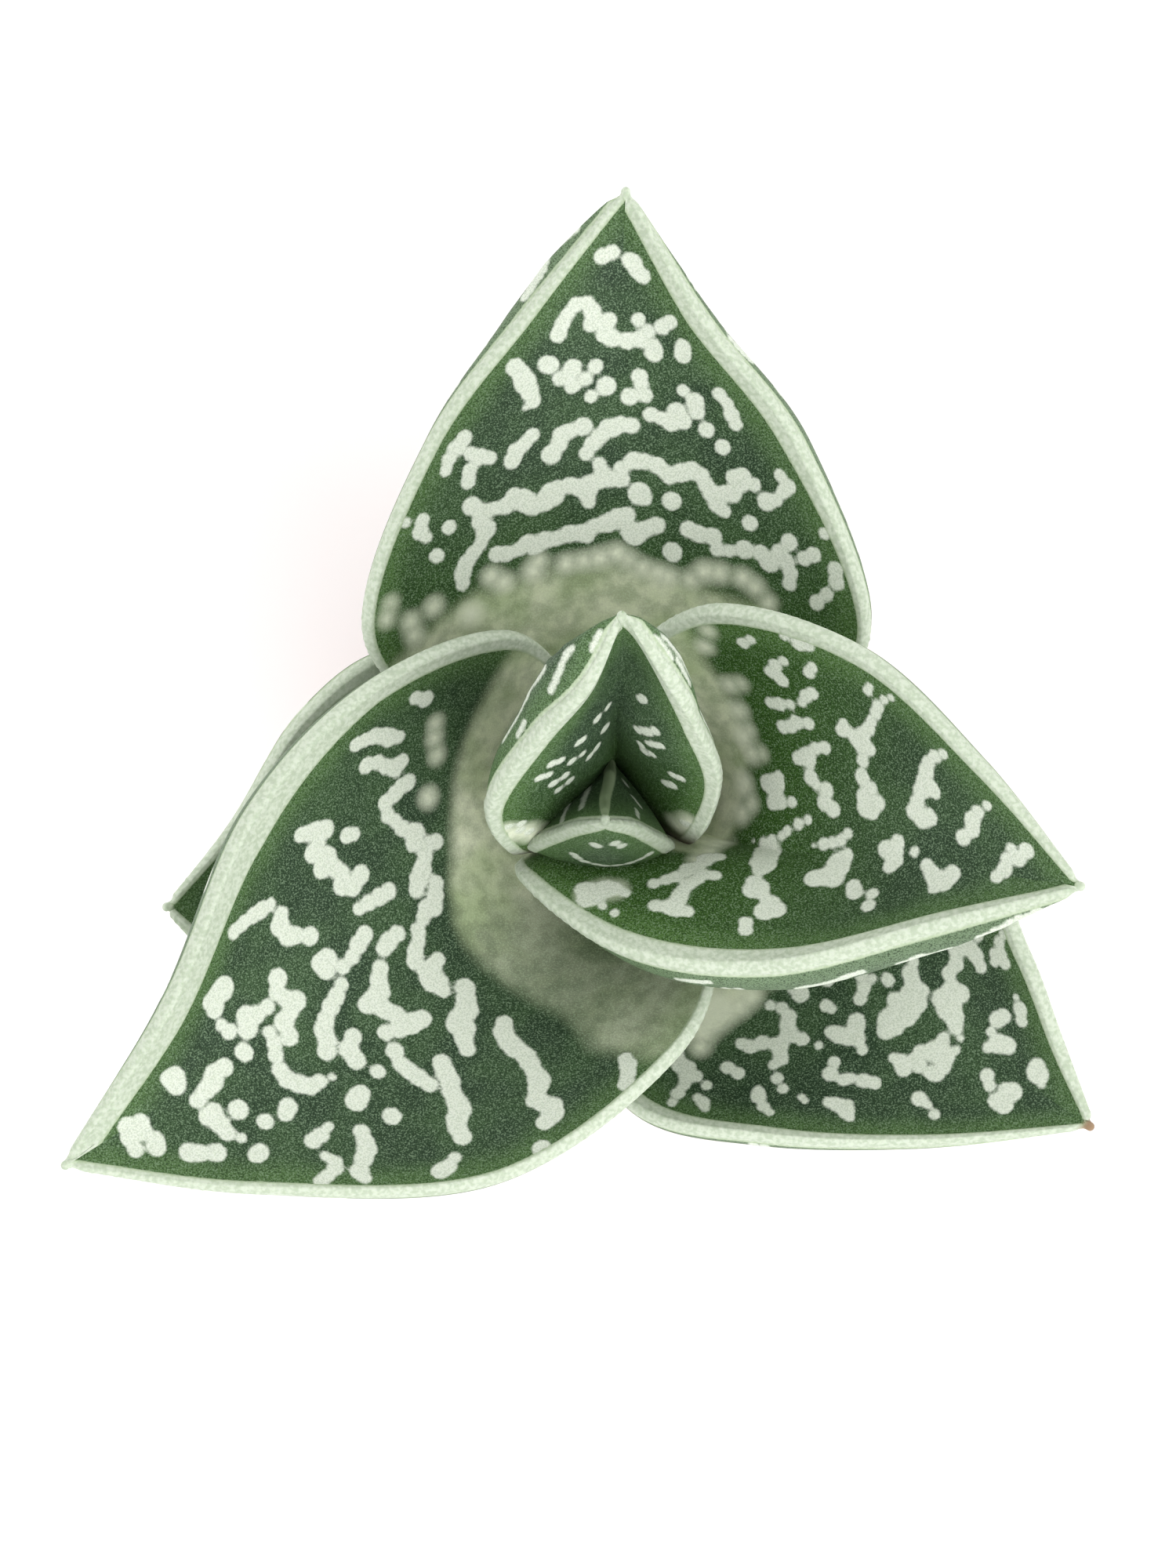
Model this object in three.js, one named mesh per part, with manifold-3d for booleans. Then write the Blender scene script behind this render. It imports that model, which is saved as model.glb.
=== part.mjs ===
// A young tiger aloe in its nursery pot: seven keeled leaves in three ranks round a short stem.
// Millimetres, +Z up. The origin is the middle of the pot's flat underside, and +X is to the
// right and +Y away from someone who looks down on the plant.

import * as THREE from "three";
import { mergeVertices } from "three/addons/utils/BufferGeometryUtils.js";
import Module from "manifold-3d";

const wasm = await Module();
wasm.setup();

// Driving dimensions
const clearance = 0.3; // gap between pieces that rest on or in each other
const leafGap = 0.6; // how far a younger leaf is grown before it trims the leaves below it
const sliver = 0.02; // detail finer than this is dropped after a cut

const pot = {
  height: 48,
  rimRadius: 27.5,
  baseRadius: 19,
  wall: 1.3,
  floor: 1.8,
  collarDepth: 9,
  collarStep: 0.9,
  edge: 0.8,
  sides: 56,
  drainHoles: 6,
  drainDiameter: 4,
  drainCircle: 12.5,
  drainSides: 12,
};

const soil = {
  rimDrop: 6.5,
  crownDip: 1.2,
  crumbHeight: 0.45,
  crumbWaves: [[1.9, 0.7, 0], [-1.1, 2.3, 1], [0.9, -3.1, 0]], // x, y and phase of each wave
  crumbFade: [3, 2], // flat margin at the stem's hole and at the pot's wall
  footRise: 2.4,
  rings: 8,
  sides: 44,
};

const stem = {
  sunk: 8,
  toeRadius: 4.5,
  radius: 6,
  shoulder: [5, 3], // radius, and depth below the top
  neck: [3.5, 0.8],
  crownRadius: 2,
  straightTo: 9, // depth below the top at which it starts to narrow
  top: 65.5,
  sides: 24,
};

const leafSteps = 20; // cross-sections from base to tip
const faceSteps = 5; // facets from the channel to each margin, and from the keel to each margin
const marginThickness = [1.5, 1.5, 1.3, 0.6];
const marginStops = [0, 0.5, 0.8, 1];
const marginBevel = 0.35; // how far the margin's nose stands out, as a share of its thickness

// Each row of a leaf, from its base to its tip, has a point on its left margin, on the channel
// along the middle of its upper face, and on its right margin, left and right as seen from the
// stem. These change along it, and give either one value or one for each of stops: depth is its
// thickness from the channel down to the keel, a swell is how far the flank bulges out past that
// margin, and reach and lift place the elbow of the upper face between the channel and a margin,
// as shares of the half width: a lifted elbow makes a convex shoulder there. A keel slope is where
// the underside heads from the keel, as shares of the way out and up to the margin's lower edge.
const stops = [0, 0.2, 0.4, 0.6, 0.8, 1];
const plainElbow = { reach: 0.45, lift: 0 };
const foldedElbow = {
  reach: [0.25, 0.25, 0.25, 0.25, 0.35, 0.45],
  lift: [0.5, 0.5, 0.45, 0.4, 0.25, 0],
};
const roundKeel = { reach: 0.5, lift: 0.12 }; // how the underside starts out from the keel
const flankDrop = 0.45; // how far below a margin its flank is widest, as a share of the rise
const swellRun = 0.12; // stretch before the tip over which a swell dies away
const swellFade = 0.7; // power of that fade: below 1 it is quick at the very tip
const swellPull = 2.2; // pull on the flank's curve for each millimetre of swell

// Oldest and lowest first
const leaves = [
  {
    name: "leaf_lower_right",
    rows: [
      [[5, 7, 49], [0, 0, 44], [-6, -6, 49]],
      [[16.5, 6.5, 59], [9.5, -6, 51], [-5, -15, 57]],
      [[33, -1.5, 66], [18.5, -12.5, 56], [1.5, -27.8, 63]],
      [[39.5, -14, 67], [28, -18.5, 60], [14.5, -31, 66]],
      [[43.2, -23.5, 66], [37.5, -24.5, 63], [30, -31.6, 66]],
      [[46.3, -30.3, 66], [46.3, -30.3, 66], [46.3, -30.3, 66]],
    ],
    depth: [4.5, 4.8, 4.8, 4.3, 3, 0.7],
    leftSwell: 0.3,
    rightSwell: [0.4, 0.6, 0.9, 1, 0.6, 0.4],
  },
  {
    name: "leaf_lower_left",
    rows: [
      [[1, -8, 49], [0, 0, 44], [-1, 8, 49]],
      [[-11, -15.5, 58], [-9.5, -2.5, 51], [-9.5, 15, 58]],
      [[-23.5, -20, 63], [-18, -5, 56], [-21.5, 15.4, 64]],
      [[-33, -17, 66], [-26.5, -6.5, 60], [-30, 9.3, 66]],
      [[-40, -12, 67], [-35, -8, 64], [-36.7, -1, 67]],
      [[-43.5, -9, 67], [-43.5, -9, 67], [-43.5, -9, 67]],
    ],
    depth: [4.5, 4.8, 4.8, 4.3, 3, 0.7],
    leftSwell: 0.3,
    rightSwell: [0.4, 0.7, 0.8, 0.7, 0.2, 0.1],
  },
  {
    name: "leaf_back",
    rows: [
      [[-8, -3, 53], [0, 0, 49], [8, -3, 53]],
      [[-17, 8.5, 64], [0, 11, 57], [17.5, 8.5, 64]],
      [[-23.5, 18, 71], [0, 23, 63.5], [23.8, 18, 71]],
      [[-17.5, 35, 75], [0.5, 35.5, 69], [17.3, 35.3, 75]],
      [[-8.5, 47.3, 77], [0.5, 47.5, 74], [8.3, 47, 77]],
      [[1, 59.5, 77], [1, 59.5, 77], [1, 59.5, 77]],
    ],
    depth: [6, 6.3, 6.3, 5.5, 3.8, 0.7],
    leftSwell: [0.4, 0.4, 0.4, 0.5, 1.9, 2.6],
    rightSwell: [0.4, 0.4, 0.9, 1.5, 1.2, 0.6],
  },
  {
    name: "leaf_front_left",
    rows: [
      [[7, -5, 57], [0, 0, 53], [-2.5, 11, 59]],
      [[9.5, -11.5, 68], [-8, -6, 60.5], [-9.5, 17, 70]],
      [[5.5, -22, 76], [-17, -11.5, 67], [-22.5, 12, 78]],
      [[-11, -33.8, 80], [-27, -18, 73], [-34, -0.2, 82]],
      [[-34, -35, 82], [-39, -25, 79], [-41.8, -18.2, 84]],
      [[-51.7, -32.9, 84], [-51.7, -32.9, 84], [-51.7, -32.9, 84]],
    ],
    depth: [6, 6.3, 6.3, 5.5, 3.8, 0.7],
    leftSwell: [0.4, 0.5, 0.6, 0.6, 0.5, 0.4],
    rightSwell: [0.4, 0.5, 1, 0.9, 0.4, 0.2],
  },
  {
    name: "leaf_front_right",
    rows: [
      [[-1, 8, 61], [1, 0, 57], [-8, -4, 64]],
      [[1, 14.5, 72], [7.5, -1.5, 65], [-9.5, -6, 74]],
      [[9, 19, 81], [13.5, -3, 72], [0, -13.5, 82]],
      [[22.6, 14.8, 87], [22, -4, 78], [14.5, -15, 85]],
      [[34, 4, 90], [32.5, -5, 85], [30.5, -11, 88]],
      [[43, -6.5, 91], [43, -6.5, 91], [43, -6.5, 91]],
    ],
    depth: [6, 6, 5.8, 5.2, 3.6, 0.7],
    leftSwell: [0.3, 0.3, 0.3, 0.2, 0.2, 0.1],
    rightSwell: [0.4, 0.6, 1.1, 1.3, 1.4, 0.8],
    rightElbow: {
      reach: [0, 0.05, 0.15, 0.31, 0.38, 0.45],
      lift: [0.6, 0.57, 0.4, 0.1, 0.04, 0],
    },
  },
  {
    name: "leaf_inner",
    rows: [
      [[-7, -3, 67], [0, 1.5, 62], [6, -3, 67]],
      [[-10, -3.5, 77], [0, 4.5, 70], [8, -2, 77]],
      [[-11.8, 0.5, 86], [0, 7, 77], [9.6, 3, 86]],
      [[-8, 7, 93], [0, 10, 85], [7.4, 8, 93]],
      [[-2.4, 11.6, 98], [0.5, 14, 93], [4.4, 12.5, 98]],
      [[0.5, 18, 102], [0.5, 18, 102], [1, 18, 102]],
    ],
    depth: [5, 5.5, 5.3, 4.8, 3.6, 0.7],
    leftSwell: [0, -0.3, -0.2, 1.5, 3.3, 3],
    rightSwell: [0, -0.3, -0.3, 0.2, 1.1, 1.4],
    leftElbow: foldedElbow,
    rightElbow: foldedElbow,
  },
  {
    name: "leaf_bud",
    rows: [
      [[-5.5, -3, 65], [-0.5, -4, 65], [4, -3, 66]],
      [[-8, -3, 71.5], [-0.5, -5, 70.5], [5.5, -3, 71.5]],
      [[-8.5, -3, 76], [-0.5, -5, 75.5], [5.5, -3, 76]],
      [[-6.5, -2, 80.5], [-0.5, -4, 80.5], [4, -2, 80.5]],
      [[-4, -1, 85], [-1, -2.5, 84.5], [2, -1, 85]],
      [[-1, -0.5, 88], [-1, -0.5, 88], [-1, -0.5, 88]],
    ],
    depth: [5.5, 8.5, 10.5, 8.5, 5, 1],
    leftSwell: [-1, -1, -1, -0.7, -0.3, 0],
    rightSwell: [-0.8, -0.8, -0.8, -0.5, -0.3, 0],
    keelSlope: { reach: 0.33, lift: 0.28 },
    margin: 0.6,
  },
];

// Value at u of one number, or of a line through one number for each stop
function along(values, u, places = stops) {
  if (!Array.isArray(values)) return values;
  const next = Math.max(1, places.findIndex((place) => place >= u));
  const share = (u - places[next - 1]) / (places[next] - places[next - 1]);
  return THREE.MathUtils.lerp(values[next - 1], values[next], share);
}

// Evenly spaced points of a curve, both ends included
function pointsOf(curve) {
  return curve.getPoints(faceSteps);
}

function smoothCurve(points) {
  const corners = points.map((point) => new THREE.Vector3(...point));
  return new THREE.CatmullRomCurve3(corners, false, "catmullrom", 0.5);
}

// One half of a leaf's cross-section: the upper face from the channel out to the margin, the
// margin's nose, and the underside from the keel out to the margin.
function halfSection(leaf, u, side, frame) {
  const { channel, keel, up, forward } = frame;
  const onLeft = side < 0;
  const out = frame.across.clone().multiplyScalar(side);
  const edge = onLeft ? frame.left : frame.right;
  const elbow = (onLeft ? leaf.leftElbow : leaf.rightElbow) ?? plainElbow;
  const width = edge.distanceTo(channel);
  const bend = channel.clone()
    .addScaledVector(out, along(elbow.reach, u) * width)
    .addScaledVector(up, along(elbow.lift, u) * width);

  const outward = edge.clone().sub(bend).normalize();
  if (outward.lengthSq() === 0) outward.copy(out);
  const faceNormal = new THREE.Vector3()
    .crossVectors(outward, forward)
    .multiplyScalar(side)
    .normalize();
  const thickness = (leaf.margin ?? 1) * along(marginThickness, u, marginStops);
  const lowerEdge = edge.clone().addScaledVector(faceNormal, -thickness);
  const nose = edge.clone()
    .addScaledVector(outward, marginBevel * thickness)
    .addScaledVector(faceNormal, -thickness / 2);

  const fade = Math.min(1, (1 - u) / swellRun) ** swellFade;
  const swell = fade * along(onLeft ? leaf.leftSwell : leaf.rightSwell, u);
  const flank = lowerEdge.clone().sub(keel);
  const rise = flank.dot(up);
  const slope = leaf.keelSlope ?? roundKeel;
  const keelPull = keel.clone()
    .addScaledVector(out, slope.reach * flank.dot(out))
    .addScaledVector(up, slope.lift * rise);
  const marginPull = lowerEdge.clone()
    .addScaledVector(out, swellPull * swell)
    .addScaledVector(up, -flankDrop * rise);

  return {
    upper: pointsOf(new THREE.QuadraticBezierCurve3(channel, bend, edge)),
    nose,
    lower: pointsOf(new THREE.CubicBezierCurve3(keel, keelPull, marginPull, lowerEdge)),
  };
}

// The closed ring of points of a leaf's cross-section at u, from its left margin across the upper
// face to the right margin and back along the underside.
function leafSection(leaf, curves, u) {
  const [left, channel, right] = curves.map((curve) => curve.getPoint(u));
  const forward = curves[1].getTangent(u);
  const tipShy = Math.min(u, 1 - 1 / leafSteps);
  const across = curves[2].getPoint(tipShy).sub(curves[0].getPoint(tipShy));
  across.addScaledVector(forward, -across.dot(forward)).normalize();
  const up = new THREE.Vector3().crossVectors(across, forward);
  const keel = channel.clone().addScaledVector(up, -along(leaf.depth, u));
  const frame = { left, channel, right, keel, across, up, forward };
  const leftHalf = halfSection(leaf, u, -1, frame);
  const rightHalf = halfSection(leaf, u, 1, frame);
  return [
    ...leftHalf.upper.toReversed(),
    ...rightHalf.upper.slice(1),
    rightHalf.nose,
    ...rightHalf.lower.toReversed(),
    ...leftHalf.lower.slice(1),
    leftHalf.nose,
  ];
}

// Triangles between two rings of points, and over a ring's end between its upper and lower faces
function ringTriangles(ringLength, rings) {
  const triangles = [];
  for (let ring = 0; ring < rings - 1; ring++) {
    for (let i = 0; i < ringLength; i++) {
      const a = ring * ringLength + i;
      const b = ring * ringLength + ((i + 1) % ringLength);
      triangles.push([a, b, b + ringLength], [a, b + ringLength, a + ringLength]);
    }
  }
  const upperLength = 2 * faceSteps + 1;
  for (const [start, turned] of [[0, false], [(rings - 1) * ringLength, true]]) {
    const cap = [
      [start, start + ringLength - 1, start + ringLength - 2],
      [start + upperLength - 1, start + upperLength + 1, start + upperLength],
    ];
    for (let i = 0; i < upperLength - 1; i++) {
      const top = start + i;
      const bottom = start + ringLength - 2 - i;
      cap.push([top, bottom, top + 1], [top + 1, bottom, bottom - 1]);
    }
    triangles.push(...(turned ? cap.map((corners) => corners.toReversed()) : cap));
  }
  return triangles.flat();
}

function leafGeometry(leaf) {
  const curves = [0, 1, 2].map((line) => smoothCurve(leaf.rows.map((row) => row[line])));
  const sections = [];
  for (let step = 0; step < leafSteps; step++) {
    sections.push(leafSection(leaf, curves, step / (leafSteps - 1)));
  }
  const geometry = new THREE.BufferGeometry().setFromPoints(sections.flat());
  return geometry.setIndex(ringTriangles(sections[0].length, leafSteps));
}

// A closed turned shape about +Z from [radius, height] points that run up the outside
function turned(profile, sides) {
  const points = profile.map(([radius, height]) => new THREE.Vector2(radius, height));
  return new THREE.LatheGeometry(points, sides).rotateX(Math.PI / 2);
}

// Only positions, with shared corners merged and collapsed triangles dropped
function plainGeometry(geometry) {
  geometry.deleteAttribute("normal");
  geometry.deleteAttribute("uv");
  const merged = mergeVertices(geometry, 0.001);
  const corners = merged.index.array;
  const kept = [];
  for (let i = 0; i < corners.length; i += 3) {
    const [a, b, c] = corners.slice(i, i + 3);
    if (a !== b && b !== c && c !== a) kept.push(a, b, c);
  }
  return merged.setIndex(kept);
}

// The same closed shape with its surface moved outwards
function grown(geometry, amount) {
  const larger = geometry.clone();
  larger.computeVertexNormals();
  const { position, normal } = larger.attributes;
  for (let i = 0; i < position.count; i++) {
    position.setXYZ(
      i,
      position.getX(i) + amount * normal.getX(i),
      position.getY(i) + amount * normal.getY(i),
      position.getZ(i) + amount * normal.getZ(i),
    );
  }
  larger.deleteAttribute("normal");
  return larger;
}

function toSolid(geometry) {
  return new wasm.Manifold(new wasm.Mesh({
    numProp: 3,
    vertProperties: Float32Array.from(geometry.attributes.position.array),
    triVerts: Uint32Array.from(geometry.index.array),
  }));
}

function toGeometry(solid) {
  const mesh = solid.getMesh();
  const geometry = new THREE.BufferGeometry();
  geometry.setAttribute("position", new THREE.BufferAttribute(mesh.vertProperties, 3));
  return geometry.setIndex(new THREE.BufferAttribute(mesh.triVerts, 1));
}

// The largest separate piece of a solid, without the slivers that a cut leaves
function largestPiece(solid) {
  const bySize = solid.decompose().sort((a, b) => b.volume() - a.volume());
  return bySize[0].simplify(sliver);
}

// Outside radius of the pot's body, below its collar
function bodyRadius(height) {
  const collarBottom = pot.height - pot.collarDepth;
  const bodyTop = pot.rimRadius - pot.collarStep - pot.edge;
  return pot.baseRadius + (bodyTop - pot.baseRadius) * (height / collarBottom);
}

// A tapered, thin-walled pot with a deeper collar at the rim and a ring of drain holes
function potGeometry() {
  const collarBottom = pot.height - pot.collarDepth;
  const collarRadius = bodyRadius(collarBottom) + pot.collarStep;
  const innerRim = pot.rimRadius - pot.wall - pot.edge / 2;
  const shell = plainGeometry(turned([
    [0, 0],
    [pot.baseRadius - pot.edge, 0],
    [bodyRadius(pot.edge), pot.edge],
    [bodyRadius(collarBottom), collarBottom],
    [collarRadius, collarBottom + pot.edge / 2],
    [pot.rimRadius, pot.height - pot.edge],
    [pot.rimRadius - pot.edge / 2, pot.height],
    [innerRim, pot.height],
    [innerRim - pot.edge / 2, pot.height - pot.edge],
    [collarRadius - pot.wall, collarBottom + 2 * pot.edge],
    [bodyRadius(collarBottom) - pot.wall, collarBottom],
    [bodyRadius(pot.floor + pot.edge) - pot.wall, pot.floor + pot.edge],
    [bodyRadius(pot.floor) - pot.wall - pot.edge, pot.floor],
    [0, pot.floor],
  ], pot.sides));
  let body = toSolid(shell);
  for (let i = 0; i < pot.drainHoles; i++) {
    const radius = pot.drainDiameter / 2;
    const hole = new THREE.CylinderGeometry(radius, radius, 3 * pot.floor, pot.drainSides);
    hole.rotateX(Math.PI / 2);
    hole.translate(pot.drainCircle, 0, pot.floor / 2);
    hole.rotateZ((i * 2 * Math.PI) / pot.drainHoles);
    body = body.subtract(toSolid(plainGeometry(hole)));
  }
  return toGeometry(body);
}

// Potting mix up to a little below the rim, with a crumbly top that dips at the crown and a plain
// hole that the stem stands in
function soilGeometry() {
  const surface = pot.height - soil.rimDrop;
  const holeRadius = stem.radius + clearance;
  const holeBottom = surface - stem.sunk - clearance;
  const wallRadius = (height) => bodyRadius(height) - pot.wall - clearance;
  const bottom = pot.floor + clearance;
  const collarBottom = pot.height - pot.collarDepth;
  const outerRadius = wallRadius(collarBottom);
  const top = [];
  for (let i = 0; i <= soil.rings; i++) {
    const share = i / soil.rings;
    const radius = THREE.MathUtils.lerp(outerRadius, holeRadius, share);
    top.push([radius, surface - soil.crownDip * share]);
  }
  const geometry = turned([
    [0, bottom],
    [wallRadius(bottom) - pot.edge - clearance, bottom],
    [wallRadius(bottom + soil.footRise), bottom + soil.footRise],
    [outerRadius, collarBottom],
    ...top,
    [holeRadius, holeBottom],
    [0, holeBottom],
  ], soil.sides);
  const { smoothstep } = THREE.MathUtils;
  const position = geometry.attributes.position;
  for (let i = 0; i < position.count; i++) {
    const x = position.getX(i);
    const y = position.getY(i);
    const height = position.getZ(i);
    if (height <= collarBottom) continue;
    const radius = Math.hypot(x, y);
    const fromHole = smoothstep(radius, holeRadius, holeRadius + soil.crumbFade[0]);
    const toWall = smoothstep(radius, outerRadius - soil.crumbFade[1], outerRadius);
    const wave = ([alongX, alongY, phase]) => Math.sin(alongX * x + alongY * y + phase);
    const crumbs = soil.crumbWaves.map(wave).reduce((sum, value) => sum + value, 0);
    position.setZ(i, height + soil.crumbHeight * fromHole * (1 - toWall) * crumbs);
  }
  return plainGeometry(geometry);
}

// The short thick stem that all leaves clasp, from its toe in the soil to the growing point
function stemGeometry() {
  const surface = pot.height - soil.rimDrop;
  const toe = surface - stem.sunk;
  const belowTop = ([radius, depth]) => [radius, stem.top - depth];
  return plainGeometry(turned([
    [0, toe],
    [stem.toeRadius, toe],
    [stem.radius, surface - stem.sunk / 2],
    [stem.radius, stem.top - stem.straightTo],
    belowTop(stem.shoulder),
    belowTop(stem.neck),
    [stem.crownRadius, stem.top],
    [0, stem.top],
  ], stem.sides));
}

function material(color, roughness) {
  return new THREE.MeshStandardMaterial({ color, roughness, metalness: 0 });
}

const plant = new THREE.Group();

function place(name, geometry, finish) {
  const mesh = new THREE.Mesh(geometry, finish);
  mesh.name = name;
  plant.add(mesh);
}

place("pot", potGeometry(), material(0xa9573a, 0.55));
place("soil", soilGeometry(), material(0x3a2c22, 0.95));

const stemShape = stemGeometry();
place("stem", stemShape, material(0x7d7c52, 0.8));

// Each leaf ends on the stem and gives way to the younger leaves that sit above it
const leafFinish = material(0x4a6340, 0.5);
const shapes = leaves.map((leaf) => plainGeometry(leafGeometry(leaf)));
const trimmers = shapes.map((shape) => toSolid(grown(shape, leafGap)));
const grownStem = toSolid(grown(stemShape, clearance));
leaves.forEach((leaf, index) => {
  let solid = toSolid(shapes[index]).subtract(grownStem);
  for (const younger of trimmers.slice(index + 1)) solid = solid.subtract(younger);
  place(leaf.name, toGeometry(largestPiece(solid)), leafFinish);
});

export default plant;
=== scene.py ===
import math
import random

import bmesh
import bpy
import numpy as np
from mathutils import Euler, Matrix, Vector, noise


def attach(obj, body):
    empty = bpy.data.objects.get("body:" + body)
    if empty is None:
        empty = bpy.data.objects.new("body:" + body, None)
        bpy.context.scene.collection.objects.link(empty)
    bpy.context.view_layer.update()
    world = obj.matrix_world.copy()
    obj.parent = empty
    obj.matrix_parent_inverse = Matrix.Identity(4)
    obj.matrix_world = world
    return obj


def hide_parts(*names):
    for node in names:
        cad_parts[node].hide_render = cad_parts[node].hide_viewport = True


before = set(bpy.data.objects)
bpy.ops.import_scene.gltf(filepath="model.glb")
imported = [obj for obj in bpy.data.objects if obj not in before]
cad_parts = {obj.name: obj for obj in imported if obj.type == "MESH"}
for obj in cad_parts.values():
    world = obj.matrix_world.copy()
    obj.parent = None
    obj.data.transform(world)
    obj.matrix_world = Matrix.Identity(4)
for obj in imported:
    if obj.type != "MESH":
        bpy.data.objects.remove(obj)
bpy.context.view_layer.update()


# Pot
# A small round nursery pot of thin moulded terracotta-coloured plastic, with a deeper collar at
# the rim and six drain holes in its foot. The plant and its soil sit in it.

MM = 0.001


def build(name, points, faces, sharp_over=None):
    """A smooth object from points in millimetres and faces of point numbers"""
    used, numbers = np.unique(np.concatenate(faces), return_inverse=True)
    ends = np.cumsum([len(face) for face in faces])[:-1]
    mesh = bpy.data.meshes.new(name)
    corners = [part.tolist() for part in np.split(numbers, ends)]
    mesh.from_pydata((np.asarray(points, float)[used] * MM).tolist(), [], corners)
    mesh.shade_smooth()
    if sharp_over:
        mesh.set_sharp_from_angle(angle=math.radians(sharp_over))
    piece = bpy.data.objects.new(name, mesh)
    bpy.context.scene.collection.objects.link(piece)
    return piece


def turn(outline, sides):
    """Points and faces of a turned shape from (radius, height) points from axis to axis"""
    outline = np.asarray(outline, float)
    angle = np.linspace(0, 2 * math.pi, sides, endpoint=False)
    radius = np.repeat(outline[:, :1], sides, 1)
    height = np.repeat(outline[:, 1:], sides, 1)
    points = np.stack([radius * np.cos(angle), radius * np.sin(angle), height], -1).reshape(-1, 3)

    def number(row, side):
        return row * sides + (side % sides if outline[row][0] else 0)

    faces = []
    for row in range(len(outline) - 1):
        for side in range(sides):
            corners = (number(row, side), number(row, side + 1),
                       number(row + 1, side + 1), number(row + 1, side))
            faces.append(list(dict.fromkeys(corners)))
    return points, faces


def rounded(corners, steps=5):
    """An outline whose (x, y, radius) corners are rounded"""
    outline = []
    for i, (x, y, radius) in enumerate(corners):
        if not radius:
            outline.append((x, y))
            continue
        here = np.array([x, y])
        before = np.array(corners[i - 1][:2]) - here
        after = np.array(corners[i + 1][:2]) - here
        start = here + before / np.linalg.norm(before) * radius
        end = here + after / np.linalg.norm(after) * radius
        for t in np.linspace(0, 1, steps):
            outline.append(tuple((1 - t) ** 2 * start + 2 * t * (1 - t) * here + t * t * end))
    return outline


def linear(red, green, blue):
    """The shader's own numbers for a colour that shows on a screen as these, 0 to 255"""
    return tuple(((part / 255 + 0.055) / 1.055) ** 2.4 for part in (red, green, blue)) + (1,)


class Wire:
    """A number that varies over a surface: arithmetic on it adds Math nodes"""

    def __init__(self, finish, socket):
        self.finish = finish
        self.socket = socket

    def maths(self, operation, *values):
        return self.finish.add("ShaderNodeMath", {"operation": operation}, dict(enumerate(values)))

    def __add__(self, other):
        return self.maths("ADD", self, other)

    def __sub__(self, other):
        return self.maths("SUBTRACT", self, other)

    def __mul__(self, other):
        return self.maths("MULTIPLY", self, other)

    def __radd__(self, other):
        return self.maths("ADD", other, self)

    def __rsub__(self, other):
        return self.maths("SUBTRACT", other, self)

    def __rmul__(self, other):
        return self.maths("MULTIPLY", other, self)

    def rise(self, low, high):
        """A soft step from 0 at low to 1 at high"""
        return self.finish.add(
            "ShaderNodeMapRange", {"interpolation_type": "SMOOTHSTEP"},
            {"Value": self, "From Min": low, "From Max": high},
        )


class Finish:
    """A material round one Principled shader"""

    def __init__(self, name):
        self.material = bpy.data.materials.new(name)
        self.material.use_nodes = True
        self.tree = self.material.node_tree
        self.shader = self.tree.nodes["Principled BSDF"]
        self.place = self.add("ShaderNodeTexCoord", output="Object")

    def join(self, node, sockets):
        for key, value in sockets.items():
            if isinstance(value, Wire):
                self.tree.links.new(value.socket, node.inputs[key])
            else:
                node.inputs[key].default_value = value

    def add(self, kind, settings={}, sockets={}, output=0):
        """Any node: its settings are set first, then the values or links of its sockets"""
        node = self.tree.nodes.new(kind)
        for key, value in settings.items():
            setattr(node, key, value)
        self.join(node, sockets)
        return Wire(self, node.outputs[output])

    def surface(self, sockets):
        """Sets or links the shader's own sockets"""
        self.join(self.shader, sockets)

    def cloud(self, size, detail=2, stretch=None):
        """Cloudy noise from 0 to 1 with features about size millimetres wide"""
        place = self.place
        if stretch:
            place = self.add("ShaderNodeMapping", {}, {"Vector": place, "Scale": stretch})
        return self.add("ShaderNodeTexNoise", {}, {
            "Vector": place, "Scale": 1 / (size * MM), "Detail": detail,
        })

    def cells(self, size):
        """Distance from the middle of the nearest of cells about size millimetres wide"""
        return self.add("ShaderNodeTexVoronoi", {}, {
            "Vector": self.place, "Scale": 1 / (size * MM),
        })

    def held(self, name):
        """A number that the mesh holds for each of its points"""
        return self.add("ShaderNodeAttribute", {"attribute_name": name}, output="Fac")

    def blend(self, share, first, second):
        """One colour fading into another"""
        return self.add(
            "ShaderNodeMix", {"data_type": "RGBA"}, {0: share, 6: first, 7: second}, output=2,
        )

    def relief(self, height, depth, under=None):
        """Fine relief whose height from 0 to 1 stands depth millimetres"""
        sockets = {"Height": height, "Distance": depth * MM}
        if under:
            sockets["Normal"] = under
        return self.add("ShaderNodeBump", {}, sockets)


def fit(piece, finish, slot, *nodes):
    """Gives a piece its finish and its place on the plant, and hides the solids that it stands for
    """
    piece.data.materials.clear()
    piece.data.materials.append(finish.material)
    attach(piece, "root")
    if nodes:
        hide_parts(*nodes)


POT_HEIGHT = 48
POT_FOOT = 19
POT_RIM = 27.5
POT_WALL = 1.3
POT_FLOOR = 1.8
COLLAR_BOTTOM = POT_HEIGHT - 9
COLLAR_STEP = 0.9
COLLAR_DEPTH = 1.7
DRAIN_HOLES = 6
DRAIN_CIRCLE = 12.5
DRAIN_RADIUS = 2
DRAIN_MARGIN = 3


def pot_radius(height):
    """Outside radius of the pot below its collar"""
    return POT_FOOT + (POT_RIM - COLLAR_DEPTH - POT_FOOT) * height / COLLAR_BOTTOM


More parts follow.
